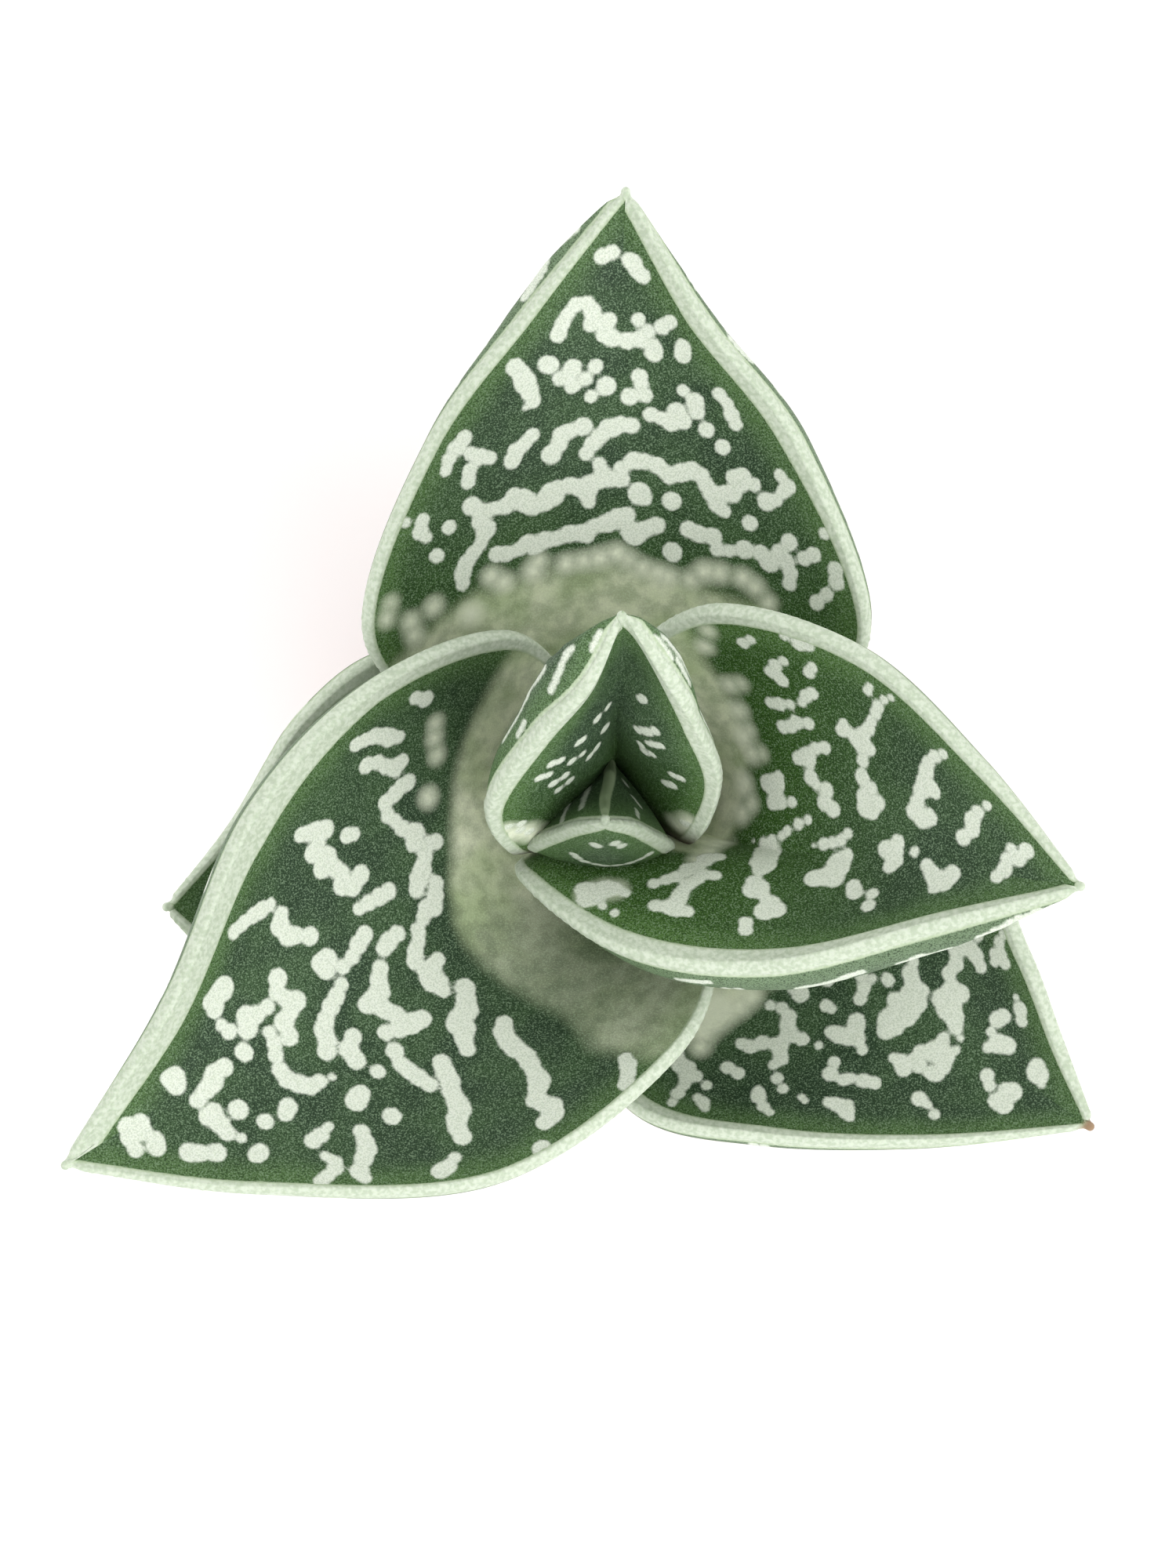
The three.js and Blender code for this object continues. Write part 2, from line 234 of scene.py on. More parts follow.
waist = pot_radius(COLLAR_BOTTOM)
pot_outline = rounded([
    (0, 0, 0),
    (DRAIN_CIRCLE - DRAIN_MARGIN, 0, 0),
    (DRAIN_CIRCLE + DRAIN_MARGIN, 0, 0),
    (POT_FOOT, 0, 0.9),
    (pot_radius(13), 13, 0),
    (pot_radius(26), 26, 0),
    (waist, COLLAR_BOTTOM, 0.15),
    (waist + COLLAR_STEP, COLLAR_BOTTOM + 0.2, 0.35),
    (POT_RIM, POT_HEIGHT - 2, 0),
    (POT_RIM, POT_HEIGHT, 0.6),
    (POT_RIM - POT_WALL - 0.4, POT_HEIGHT, 0.5),
    (POT_RIM - POT_WALL - 0.8, POT_HEIGHT - 2, 0),
    (waist + COLLAR_STEP - POT_WALL, COLLAR_BOTTOM + 1.6, 0.3),
    (waist - POT_WALL, COLLAR_BOTTOM, 0.3),
    (pot_radius(POT_FLOOR) - POT_WALL, POT_FLOOR, 0.8),
    (DRAIN_CIRCLE + DRAIN_MARGIN, POT_FLOOR, 0),
    (DRAIN_CIRCLE - DRAIN_MARGIN, POT_FLOOR, 0),
    (0, POT_FLOOR, 0),
])
pot = build("nursery_pot", *turn(pot_outline, 144))
drills = []
for i in range(DRAIN_HOLES):
    drill_points, drill_faces = turn([(0, -3), (DRAIN_RADIUS, -3), (DRAIN_RADIUS, 5), (0, 5)], 32)
    angle = 2 * math.pi * i / DRAIN_HOLES
    drill_points += np.array([math.cos(angle), math.sin(angle), 0]) * DRAIN_CIRCLE
    drills.append(build("drill", drill_points, drill_faces))
    hole = pot.modifiers.new("drain_hole", "BOOLEAN")
    hole.operation = "DIFFERENCE"
    hole.solver = "MANIFOLD"
    hole.object = drills[-1]
whole = pot.evaluated_get(bpy.context.evaluated_depsgraph_get())
pot.data = bpy.data.meshes.new_from_object(whole)
pot.modifiers.clear()
pot.data.set_sharp_from_angle(angle=math.radians(40))
for drill in drills:
    bpy.data.objects.remove(drill)

plastic = Finish("terracotta plastic")
plastic_tint = plastic.blend(
    plastic.cloud(9, 3).rise(0.35, 0.65), linear(158, 84, 56), linear(172, 96, 66),
)
dust = plastic.cloud(2.2, 5).rise(0.52, 0.75) * plastic.cloud(14, 2).rise(0.4, 0.65)
plastic.surface({
    "Base Color": plastic.blend(dust * 0.45, plastic_tint, linear(196, 164, 140)),
    "Roughness": plastic.cloud(3, 4) * 0.2 + 0.42,
    "Normal": plastic.relief(plastic.cloud(0.5, 3), 0.05),
})
fit(pot, plastic, "pot", "pot")


# Soil
# A plug of dark peat that fills the pot to a little below its rim and dips at the crown. It is
# loose crumbs on top and closes round the stem.

SOIL_TOP = POT_HEIGHT - 6.5
SOIL_BOTTOM = 2.1
SOIL_DIP = 1.2
SOIL_CLEAR = 0.25
soil_edge = pot_radius(COLLAR_BOTTOM) - POT_WALL - SOIL_CLEAR


def soil_height(radius):
    """Height of the soil without its crumbs"""
    return SOIL_TOP - SOIL_DIP * (1 - radius / soil_edge)


soil_outline = [
    (0, SOIL_BOTTOM),
    (pot_radius(SOIL_BOTTOM) - 2.4, SOIL_BOTTOM),
    (pot_radius(4.5) - 1.6, 4.5),
    (soil_edge, COLLAR_BOTTOM),
]
soil_outline += [(radius, soil_height(radius)) for radius in np.linspace(soil_edge, 0, 72)]
soil_points, soil_faces = turn(soil_outline, 176)
crumbly = soil_points[:, 2] > COLLAR_BOTTOM + 0.1
lumps = [
    0.55 * noise.noise(Vector(point) * 0.42)
    + 0.5 * noise.noise(Vector(point) * 1.15)
    + 0.32 * noise.noise(Vector(point) * 2.4)
    for point in soil_points[crumbly]
]
soil_points[crumbly, 2] += lumps
soil = build("potting_mix", soil_points, soil_faces)

peat = Finish("damp peat")
crumb = peat.cloud(0.9, 5)
fibre = peat.cloud(1.4, 4, stretch=(1, 3.5, 1)).rise(0.58, 0.7)
peat_tint = peat.blend(crumb.rise(0.35, 0.68), linear(30, 22, 17), linear(78, 58, 43))
peat.surface({
    "Base Color": peat.blend(fibre * 0.7, peat_tint, linear(122, 88, 58)),
    "Roughness": 0.95,
    "Normal": peat.relief(crumb, 0.6, peat.relief(peat.cells(0.7), 0.25)),
})
fit(soil, peat, "soil", "soil")


# Grit in the soil
# Bits of white perlite and brown bark that were mixed into the peat and show on top of it, each
# sunk about a third of its height.

STEM_RADIUS = 6


def scatter(name, count, sizes, squash, seed):
    """Rough lumps strewn over the soil, as one mesh. Squash is their height against their width"""
    chance = random.Random(seed)
    pattern = bmesh.new()
    bmesh.ops.create_icosphere(pattern, subdivisions=2, radius=1)
    ball = np.array([corner.co for corner in pattern.verts])
    ball_faces = np.array([[corner.index for corner in face.verts] for face in pattern.faces])
    pattern.free()
    points = []
    faces = []
    while len(faces) < count:
        radius = STEM_RADIUS + 1 + (soil_edge - STEM_RADIUS - 2.5) * math.sqrt(chance.random())
        angle = chance.uniform(0, 2 * math.pi)
        size = chance.uniform(*sizes)
        shift = Vector((seed, len(faces), 0))
        bumps = [1 + 0.5 * noise.noise(Vector(corner) * 1.3 + shift) for corner in ball]
        shape = np.array([1, chance.uniform(0.5, 0.9), squash])
        lump = ball * np.array(bumps)[:, None] * shape * size
        tilt = chance.uniform(-0.5, 0.5), chance.uniform(-0.5, 0.5), chance.uniform(0, 6.3)
        lump = lump @ np.array(Euler(tilt).to_matrix()).T
        height = soil_height(radius) + size * squash * 0.35
        lump += [radius * math.cos(angle), radius * math.sin(angle), height]
        faces.append(ball_faces + len(ball) * len(points))
        points.append(lump)
    return build(name, np.concatenate(points), np.concatenate(faces), sharp_over=35)


perlite = Finish("perlite")
perlite.surface({
    "Base Color": perlite.blend(
        perlite.cloud(0.6, 4), linear(206, 200, 188), linear(240, 238, 230),
    ),
    "Roughness": 0.9,
    "Normal": perlite.relief(perlite.cells(0.35), 0.12),
})
fit(scatter("perlite_bits", 70, (0.4, 0.95), 0.8, 3), perlite, "soil")

bark = Finish("bark chips")
bark.surface({
    "Base Color": bark.blend(
        bark.cloud(0.8, 4, stretch=(1, 4, 1)), linear(52, 34, 24), linear(120, 82, 54),
    ),
    "Roughness": 0.88,
    "Normal": bark.relief(bark.cloud(0.4, 4, stretch=(1, 5, 1)), 0.15),
})
fit(scatter("bark_bits", 190, (0.5, 1.5), 0.35, 8), bark, "soil")


# Stem
# The short fibrous stem that all leaves clasp, from its toe in the soil to the growing point. Old
# leaves have left it ringed with dry scars.

STEM_TOP = 65.5
stem_outline = [(0, SOIL_TOP - 8), (4.5, SOIL_TOP - 8), (STEM_RADIUS, SOIL_TOP - 4)]
for height in np.arange(SOIL_TOP - 3.6, STEM_TOP - 9, 0.4):
    scar = abs(math.sin((height - SOIL_TOP) * 1.15)) ** 0.5
    stem_outline.append((STEM_RADIUS - 0.55 + 0.5 * scar, height))
stem_outline += [(5, STEM_TOP - 3), (3.5, STEM_TOP - 0.8), (2, STEM_TOP), (0, STEM_TOP)]
stem = build("stem_skin", *turn(rounded([(*point, 0) for point in stem_outline]), 96))

husk = Finish("fibrous stem")
husk_streaks = husk.cloud(0.9, 4, stretch=(1, 1, 0.2))
husk.surface({
    "Base Color": husk.blend(
        husk_streaks.rise(0.35, 0.7), linear(104, 98, 62), linear(168, 150, 108),
    ),
    "Roughness": 0.8,
    "Normal": husk.relief(husk_streaks, 0.2),
})
fit(stem, husk, "stem", "stem")


# Leaves
# Seven thick, keeled leaves in three ranks that clasp the stem and each other. Their skin is dark
# green and waxy with white spots in cross bands, and has a pale horny margin and keel.

def curve(points, u):
    """Points at shares u of a smooth line through evenly spaced points"""
    points = np.asarray(points, float)
    points = np.vstack([2 * points[0] - points[1], points, 2 * points[-1] - points[-2]])
    place = np.clip(u, 0, 1) * (len(points) - 3)
    first = np.minimum(place.astype(int), len(points) - 4)
    t = (place - first)[..., None]
    a, b, c, d = (points[first + i] for i in range(4))
    bend = (2 * a - 5 * b + 4 * c - d) * t**2 + (3 * b - a - 3 * c + d) * t**3
    return (2 * b + (c - a) * t + bend) / 2


def unit(vectors):
    return vectors / np.maximum(np.linalg.norm(vectors, axis=-1, keepdims=True), 1e-9)


def soft_step(values, low, high):
    t = np.clip((values - low) / (high - low), 0, 1)
    return t * t * (3 - 2 * t)


class Leaf:
    """The skin of one leaf. Its rows, from base to tip, hold points on the left margin, on the
    channel of the upper face and on the right margin, in millimetres. Depth is from the channel to
    the keel, a swell is a flank's bulge past its margin, and an elbow is the reach and lift of the
    upper face between the channel and a margin. Flare is how wide and how high the underside starts
    out from the keel. Bands are the widths of the pale margins"""

    STOPS = [0, 0.2, 0.4, 0.6, 0.8, 1]
    EDGE_THICKNESS = [[0, 0.5, 0.8, 1], [1.5, 1.5, 1.3, 0.6]]
    SWELL_PULL = 2.2
    SWELL_FADE = 0.12

    def __init__(self, rows, depth, left_swell, right_swell, bands, left_elbow=(0.45, 0),
                 right_elbow=(0.45, 0), flare=(0.5, 0.12), thin=1, keel_band=1.1):
        self.rows = np.array(rows, float)
        self.depth = depth
        self.swells = {-1: left_swell, 1: right_swell}
        self.bands = {-1: bands[0], 1: bands[1]}
        self.thin = thin
        self.elbows = {-1: left_elbow, 1: right_elbow}
        self.flare = flare
        self.keel_band = keel_band

    def along(self, values, u):
        return np.interp(u, self.STOPS, values if np.ndim(values) else [values] * 6)[..., None]

    def frame(self, u):
        """Left margin, channel, right margin, and the leaf's own across, forward and up at u"""
        left, channel, right = (curve(self.rows[:, line], u) for line in range(3))
        near = 1e-3
        forward = unit(curve(self.rows[:, 1], u + near) - curve(self.rows[:, 1], u - near))
        shy = np.minimum(u, 0.97)
        across = curve(self.rows[:, 2], shy) - curve(self.rows[:, 0], shy)
        across = unit(across - (across * forward).sum(-1, keepdims=True) * forward)
        return left, channel, right, across, forward, np.cross(across, forward)

    def half(self, u, side):
        """Corners of the curves of one half of the cross-section at u"""
        left, channel, right, across, forward, up = self.frame(u)
        edge = left if side < 0 else right
        out = across * side
        width = np.linalg.norm(edge - channel, axis=-1, keepdims=True)
        reach, lift = self.elbows[side]
        elbow = channel + out * self.along(reach, u) * width + up * self.along(lift, u) * width
        outward = unit(edge - elbow)
        outward = np.where((outward**2).sum(-1, keepdims=True) > 0.5, outward, out)
        normal = unit(np.cross(outward, forward) * side)
        lower = edge - normal * np.interp(u, *self.EDGE_THICKNESS)[..., None] * self.thin
        keel = channel - up * self.along(self.depth, u)
        fade = np.clip((1 - u) / self.SWELL_FADE, 0, 1)[..., None] ** 0.7
        swell = self.along(self.swells[side], u) * fade
        rise = ((lower - keel) * up).sum(-1, keepdims=True)
        reach_out = ((lower - keel) * out).sum(-1, keepdims=True)
        keel_pull = keel + out * reach_out * self.flare[0] + up * rise * self.flare[1]
        edge_pull = lower + out * self.SWELL_PULL * swell - up * rise * 0.45
        return channel, elbow, edge, outward, lower, keel, keel_pull, edge_pull

    def upper(self, u, a):
        """Points on the upper face at shares u along and a across, -1 to 1"""
        t = np.abs(a)[..., None]
        faces = []
        for side in (-1, 1):
            channel, elbow, edge, *_ = self.half(u, side)
            faces.append((1 - t) ** 2 * channel + 2 * t * (1 - t) * elbow + t * t * edge)
        return np.where(a[..., None] < 0, *faces)

    def under(self, u, a):
        """Points on the underside at shares u along and a across from the keel, -1 to 1"""
        t = np.abs(a)[..., None]
        faces = []
        for side in (-1, 1):
            *_, lower, keel, keel_pull, edge_pull = self.half(u, side)
            faces.append(
                (1 - t) ** 3 * keel + 3 * t * (1 - t) ** 2 * keel_pull
                + 3 * t * t * (1 - t) * edge_pull + t**3 * lower
            )
        return np.where(a[..., None] < 0, *faces)

    def shares(self, u, face, side, gaps):
        """Shares across at which a face lies the given distances from its margin, for each u"""
        fine = np.linspace(1, 0, 60) * side
        line = face(np.repeat(u[:, None], len(fine), 1), np.repeat(fine[None], len(u), 0))
        steps = np.linalg.norm(np.diff(line, axis=1), axis=-1)
        length = np.concatenate([np.zeros((len(u), 1)), np.cumsum(steps, 1)], 1)
        wanted = gaps(length[:, -1:])
        found = np.stack([np.interp(w, one, fine) for w, one in zip(wanted, length)])
        return found, wanted, length[:, -1:]


# Millimetres: a distance that stands for nowhere near, the spacing of the skin's points along and
# across, the margins, their teeth, the nib at the tip and the spacing of spots in a stroke
FAR = 9
LEAF_STEP = 0.26
MID_STEP = 0.45
BAND_STEPS = [0, 0.1, 0.25, 0.45, 0.65, 0.82, 0.93, 1, 1.07, 1.2]
UNDER_STEPS = [0, 0.15, 0.3, 0.45, 0.6, 0.8]
NOSE_TURNS = np.linspace(0, math.pi, 9)[1:-1]
NOSE_BULGE = 0.22
BAND_RAISE = 0.1
KEEL_RAISE = 0.22
UNDER_BAND = 0.45
TOOTH_PITCH = 0.95
TOOTH_HEIGHT = 0.13
TOOTH_DRIFT = np.arange(0, 200, 2.2)
NIB_RADIUS = 0.45
NIB_LENGTH = 0.35
NIB_DROP = 0.35
SPOT_PITCH = 1.15


def beads(face, strokes, chance, radius, pitch, wander=0.09):
    """Middles and radii of the round spots strung along strokes. Each corner of a stroke has its
    percents along and across the leaf and, where it isn't 1, the size of the spots there"""
    middles, radii = [], []
    for stroke in strokes:
        corners = np.array([(*corner, 1)[:3] for corner in stroke], float)
        share = np.linspace(0, len(corners) - 1, 1 + 16 * (len(corners) - 1))
        along, across, size = (np.interp(share, range(len(corners)), part) for part in corners.T)
        points = face(along / 100, across / 100)
        length = np.concatenate([[0], np.cumsum(np.linalg.norm(np.diff(points, axis=0), axis=1))])
        count = 1 + max(round(length[-1] / pitch), len(corners) > 1)
        for place in np.linspace(0, length[-1], count):
            middles.append([np.interp(place, length, points[:, axis]) for axis in range(3)])
            radii.append(radius * np.interp(place, length, size) * chance.uniform(0.88, 1.08))
    return np.array(middles) + chance.normal(0, wander, (len(middles), 3)), np.array(radii)


def from_beads(points, middles, radii, merge=0.14):
    """Distance of points from the edge of the nearest run of spots, less than 0 inside it"""
    distances = []
    for part in np.array_split(points.astype(np.float32), 1 + len(points) // 5000):
        apart = np.linalg.norm(part[:, None] - middles[None].astype(np.float32), axis=-1) - radii
        nearest = apart.min(1, keepdims=True)
        distances.append(nearest[:, 0] - merge * np.log(np.exp((nearest - apart) / merge).sum(1)))
    return np.concatenate(distances)


def under_streaks(leaf, length, chance):
    """Strokes in loose cross bands on the underside, longer the nearer they are to the keel"""
    strokes = []
    for row in np.arange(0.1, 0.94, 0.062):
        for side in (-1, 1):
            fine = leaf.under(np.full(30, row), np.linspace(0, side, 30))
            half = np.linalg.norm(np.diff(fine, axis=0), axis=1).sum()
            across = 1.4 / half
            while across < 0.93:
                start = row + chance.uniform(-0.018, 0.018)
                reach = chance.uniform(0.8, 3.2) / length
                if chance.random() < 0.68:
                    lean = chance.uniform(-0.5, 0.9) * reach * length / half
                    stroke = [(start, across), (start + reach, across + lean * 0.35)]
                    strokes.append([(100 * u, 100 * side * a) for u, a in stroke])
                across += chance.uniform(1.5, 2.9) / half
    return strokes


def face_strip(leaf, u, side, upper):
    """One half of one face as rows of points from its margin to its middle, with the distances on
    them. The points lie closer together over the pale margin"""
    face = leaf.upper if upper else leaf.under
    band = leaf.along(leaf.bands[side], u)

    def gaps(half):
        if upper:
            start = np.minimum(band, 0.7 * half) * BAND_STEPS
        else:
            start = np.minimum(1, 0.5 * half) * UNDER_STEPS
        middle = max(4, round(half.max() / MID_STEP))
        rest = (half - start[:, -1:]) * np.linspace(0, 1, middle)[1:]
        return np.concatenate([start, start[:, -1:] + rest], 1)

    a, gap, half = leaf.shares(u, face, side, gaps)
    return {
        "points": face(np.repeat(u[:, None], a.shape[1], 1), a),
        "a": a,
        "edge": gap - (band if upper else UNDER_BAND),
        "face": 0 * a + (1 if upper else -1),
        "keel": 0 * a + FAR if upper else half - gap - leaf.keel_band / 2,
    }


def rim_strip(leaf, u, side, chance):
    """The rounded edge between the two faces on one side, with its tiny blunt teeth"""
    _, _, edge, outward, lower, *_ = leaf.half(u, side)
    travel = np.concatenate([[0], np.cumsum(np.linalg.norm(np.diff(edge, axis=0), axis=1))])
    drift = np.interp(travel, TOOTH_DRIFT, chance.uniform(0, 1, len(TOOTH_DRIFT)))
    number = travel / TOOTH_PITCH + drift
    height = np.interp(number, range(200), chance.uniform(0.35, 1, 200)) * soft_step(u, 0.1, 0.3)
    tooth = TOOTH_HEIGHT * height * np.maximum(0, np.cos(2 * math.pi * number)) ** 1.5
    middle = (edge + lower) / 2
    bulge = NOSE_BULGE * np.linalg.norm(edge - lower, axis=-1, keepdims=True) + tooth[:, None]
    nose = np.stack([
        middle + (edge - middle) * math.cos(turn) + outward * bulge * math.sin(turn)
        for turn in NOSE_TURNS
    ], 1)
    flat = np.ones(nose.shape[:2])
    return {"points": nose, "a": flat * side, "edge": -flat, "face": 0 * flat, "keel": FAR * flat}


def whole_skin(leaf, u, chance):
    """Both faces and both edges of a leaf as rows that run right round it, and the number of
    points of a row that lie on the upper face"""
    top, rim, low = {}, {}, {}
    for side in (-1, 1):
        top[side] = face_strip(leaf, u, side, upper=True)
        low[side] = face_strip(leaf, u, side, upper=False)
        rim[side] = rim_strip(leaf, u, side, chance)

    def shorter(strip):
        return {key: value[:, :-1] for key, value in strip.items()}

    def flipped(strip):
        return {key: value[:, ::-1] for key, value in strip.items()}

    ring = [
        top[-1], flipped(shorter(top[1])), rim[1],
        low[1], flipped(shorter(low[-1])), flipped(rim[-1]),
    ]
    skin = {key: np.concatenate([strip[key] for strip in ring], 1) for key in ring[0]}
    return skin, sum(strip["a"].shape[1] for strip in ring[:2])


def raised(skin, u):
    """The skin's points with the pale margins and the keel standing a little above the green"""
    points = skin["points"]
    over = np.roll(points, -1, 1) - np.roll(points, 1, 1)
    normal = unit(np.cross(over, np.gradient(points, axis=0)))
    margin = BAND_RAISE * (1 - soft_step(skin["edge"], -0.25, 0.15)) * (skin["face"] > 0)
    keel = 1 - soft_step(skin["keel"], -0.5, 0.35)
    keel = KEEL_RAISE * keel * soft_step(u, 0.1, 0.3)[:, None]
    return points + normal * (margin + keel)[..., None]


def nib_points(leaf, place, upper_count, around):
    """The blunt horny nib of a leaf, as rings at the given places before and past its tip"""
    tip, *_, across, forward, up = leaf.frame(np.array([1.0]))
    angle = np.concatenate([
        np.linspace(math.pi, 0, upper_count),
        np.linspace(0, -math.pi, around - upper_count + 2)[1:-1],
    ])[None, :, None]
    end = np.clip((place + 0.1) / (NIB_LENGTH + 0.12), 0, 1)
    radius = NIB_RADIUS * np.sqrt(np.clip(1 - end**2, 0.002, 1))[:, None, None]
    middle = (tip + forward * place[:, None] - up * NIB_DROP)[:, None]
    return middle + radius * (across * np.cos(angle) + up * np.sin(angle))


def leaf_skin(name, leaf, spots, haze, basin, fresh_to, seed, spot_size=0.94, streaks=None,
              dusty=0.5, shade=0, base_shade_to=0, nib_brown=0):
    """A leaf's fine skin, with the distances and shares on its points that its finish reads. Spots
    and streaks are strokes on the upper face and the underside, and haze is blurred spots. Basin is
    the end of the pale hollow at the base as percents (across, along) and, where given, how pale it
    is there; a weaker paleness is painted shade. Fresh_to is the share of the length up to which
    the green is young, and the base shade share the one up to which the base is darkened brownish,
    a painted shade in the heart of the rosette. Shade darkens the whole leaf, a painted shade for a
    leaf that stands deep among the others"""
    chance = np.random.default_rng(seed)
    fine = curve(leaf.rows[:, 1], np.linspace(0, 1, 200))
    length = np.linalg.norm(np.diff(fine, axis=0), axis=1).sum()
    u = np.linspace(0, 1, round(length / LEAF_STEP))
    skin, upper_count = whole_skin(leaf, u, chance)
    skin["points"] = raised(skin, u)

    beyond = np.linspace(0, NIB_LENGTH, 7)[1:]
    skin = {
        key: np.concatenate([value, np.repeat(value[-1:], len(beyond), 0)])
        for key, value in skin.items()
    }
    place = np.concatenate([(u - 1) * length, beyond])
    u = np.concatenate([u, np.ones(len(beyond))])[:, None]
    rows, around = skin["a"].shape
    nib = soft_step(place, -1.3, -0.1)[:, None, None]
    points = skin["points"] * (1 - nib) + nib_points(leaf, place, upper_count, around) * nib
    points = points.reshape(-1, 3)

    number = np.arange(rows * around).reshape(rows, around)
    beside = np.roll(number, -1, 1)
    quads = np.stack([number[:-1], beside[:-1], beside[1:], number[1:]], -1).reshape(-1, 4)
    piece = build(name, points, list(quads) + [number[0, ::-1], number[-1]])

    upper = skin["face"].reshape(-1) > 0
    under = skin["face"].reshape(-1) < 0
    spot = np.full(len(points), float(FAR))
    drawn = beads(leaf.upper, spots, chance, spot_size, SPOT_PITCH)
    spot[upper] = from_beads(points[upper], *drawn)
    if streaks:
        drawn = beads(leaf.under, streaks, chance, radius=0.34, pitch=0.45, wander=0.03)
    else:
        streaks = under_streaks(leaf, length, chance)
        drawn = beads(leaf.under, streaks, chance, radius=0.56, pitch=0.8, wander=0.06)
    spot[under] = from_beads(points[under], *drawn)
    fog = np.zeros(len(points))
    if haze:
        middles, radii = beads(leaf.upper, haze, chance, radius=1.5, pitch=1.6, wander=0.2)
        apart = from_beads(points[upper], middles, radii, merge=0.3)
        fog[upper] = np.clip(0.35 - apart / 1.5, 0, 1)

    across = skin["a"] * 100
    side, end, strength = np.array([(*corner, 1)[:3] for corner in basin], float).T
    pale = soft_step(np.interp(across, side, end) / 100 - u, -0.01, 0.03)
    held = {
        "edge_mm": skin["edge"],
        "keel_mm": skin["keel"],
        "spot_mm": spot,
        "fog": fog,
        "pale": pale * np.interp(across, side, strength) * (skin["face"] > 0),
        "fresh": soft_step(fresh_to - u, 0, 0.35) + 0 * across,
        "under": dusty * (skin["face"] < 0),
        "shade": shade + 0 * across,
        "base_shade": soft_step(base_shade_to - u, -0.04, 0.1) + 0 * across,
        "nib": nib_brown * soft_step(place, -1.1, -0.3)[:, None] + 0 * across,
    }
    for key, values in held.items():
        store = piece.data.attributes.new(key, "FLOAT", "POINT")
        store.data.foreach_set("value", np.asarray(values, np.float32).reshape(-1))
    return piece


skin = Finish("waxy leaf skin")
edge = skin.held("edge_mm")
grain = skin.cloud(0.16, 1)
flecks = skin.cloud(0.45, 3)
drift = skin.cloud(6, 2)
green = skin.blend(drift.rise(0.35, 0.65), linear(42, 62, 42), linear(56, 80, 50))
green = skin.blend(skin.held("fresh") * 0.85, green, linear(50, 84, 22))
green = skin.blend((1 - edge.rise(0.1, 4)) * 0.5, green, linear(92, 126, 68))
green = skin.blend(skin.held("under"), green, linear(122, 138, 116))
green = skin.blend(grain.rise(0.5, 0.68) * 0.65, green, linear(116, 138, 110))
green = skin.blend((1 - grain.rise(0.34, 0.5)) * 0.65, green, linear(20, 38, 18))
pale = skin.held("pale") * (0.7 + 0.3 * skin.cloud(1.6, 3).rise(0.35, 0.65))
hollow = skin.blend(drift.rise(0.3, 0.7), linear(180, 195, 152), linear(222, 228, 198))
green = skin.blend(pale * (0.72 + 0.24 * grain), green, hollow)
green = skin.blend(skin.held("fog") * (0.7 + 0.5 * flecks), green, linear(216, 222, 198))
wobble = (flecks - 0.5) * 0.3
spot = 1 - (skin.held("spot_mm") + wobble).rise(-0.22, 0.12)
spot_tint = skin.blend(grain.rise(0.35, 0.6), linear(190, 199, 182), linear(214, 220, 206))
green = skin.blend(spot * 0.96, green, spot_tint)
keel = (1 - (skin.held("keel_mm") + wobble * 0.6).rise(-0.12, 0.15)) * 0.9
green = skin.blend(keel, green, linear(150, 166, 132))
band = 1 - (edge + (flecks - 0.5) * 0.3).rise(-0.1, 0.1)
band_tint = skin.blend(flecks.rise(0.35, 0.65), linear(174, 186, 164), linear(196, 205, 187))
band_tint = skin.blend((edge + 0.35).rise(-0.1, 0.3) * 0.35, band_tint, linear(146, 170, 116))
green = skin.blend(band, green, band_tint)
# Painted shade: the shade share darkens the whole of a leaf that stands deep among the others
green = skin.blend(skin.held("shade"), green, linear(52, 70, 42))
# Painted shade: the base of a leaf is darkened brownish down in the heart of the rosette
green = skin.blend(skin.held("base_shade"), green, linear(62, 56, 42))
green = skin.blend(skin.held("nib"), green, linear(140, 104, 74))
skin.surface({
    "Base Color": green,
    "Roughness": 0.45 + 0.2 * grain,
    "Normal": skin.relief(grain, 0.03, skin.relief(spot, 0.05)),
    "Subsurface Weight": 0.06,
    "Subsurface Radius": (0.6, 1.0, 0.3),
    "Subsurface Scale": 0.0012,
    "Specular IOR Level": 0.18,
})


# Lower right leaf
# One of the two oldest leaves, which lie lowest. It grows from the stem under the front leaves and
# its tip has dried to a brown point.

lower_right = Leaf(
    rows=[
        [[5, 7, 49], [0, 0, 44], [-6, -6, 49]],
        [[16.5, 6.5, 59], [9.5, -6, 51], [-5, -15, 57]],
        [[33, -1.5, 66], [18.5, -12.5, 56], [1.5, -27.8, 63]],
        [[39.5, -14, 67], [28, -18.5, 60], [14.5, -31, 66]],
        [[43.2, -23.5, 66], [37.5, -24.5, 63], [30, -31.6, 66]],
        [[46.3, -30.3, 66], [46.3, -30.3, 66], [46.3, -30.3, 66]],
    ],
    depth=[4.5, 4.8, 4.8, 4.3, 3, 0.7],
    left_swell=0.3,
    right_swell=[0.4, 0.6, 0.9, 1, 0.6, 0.4],
    bands=([0.9, 0.9, 0.9, 0.8, 0.6, 0.5], [1.2, 1.2, 1.3, 1.2, 0.9, 0.6]),
)
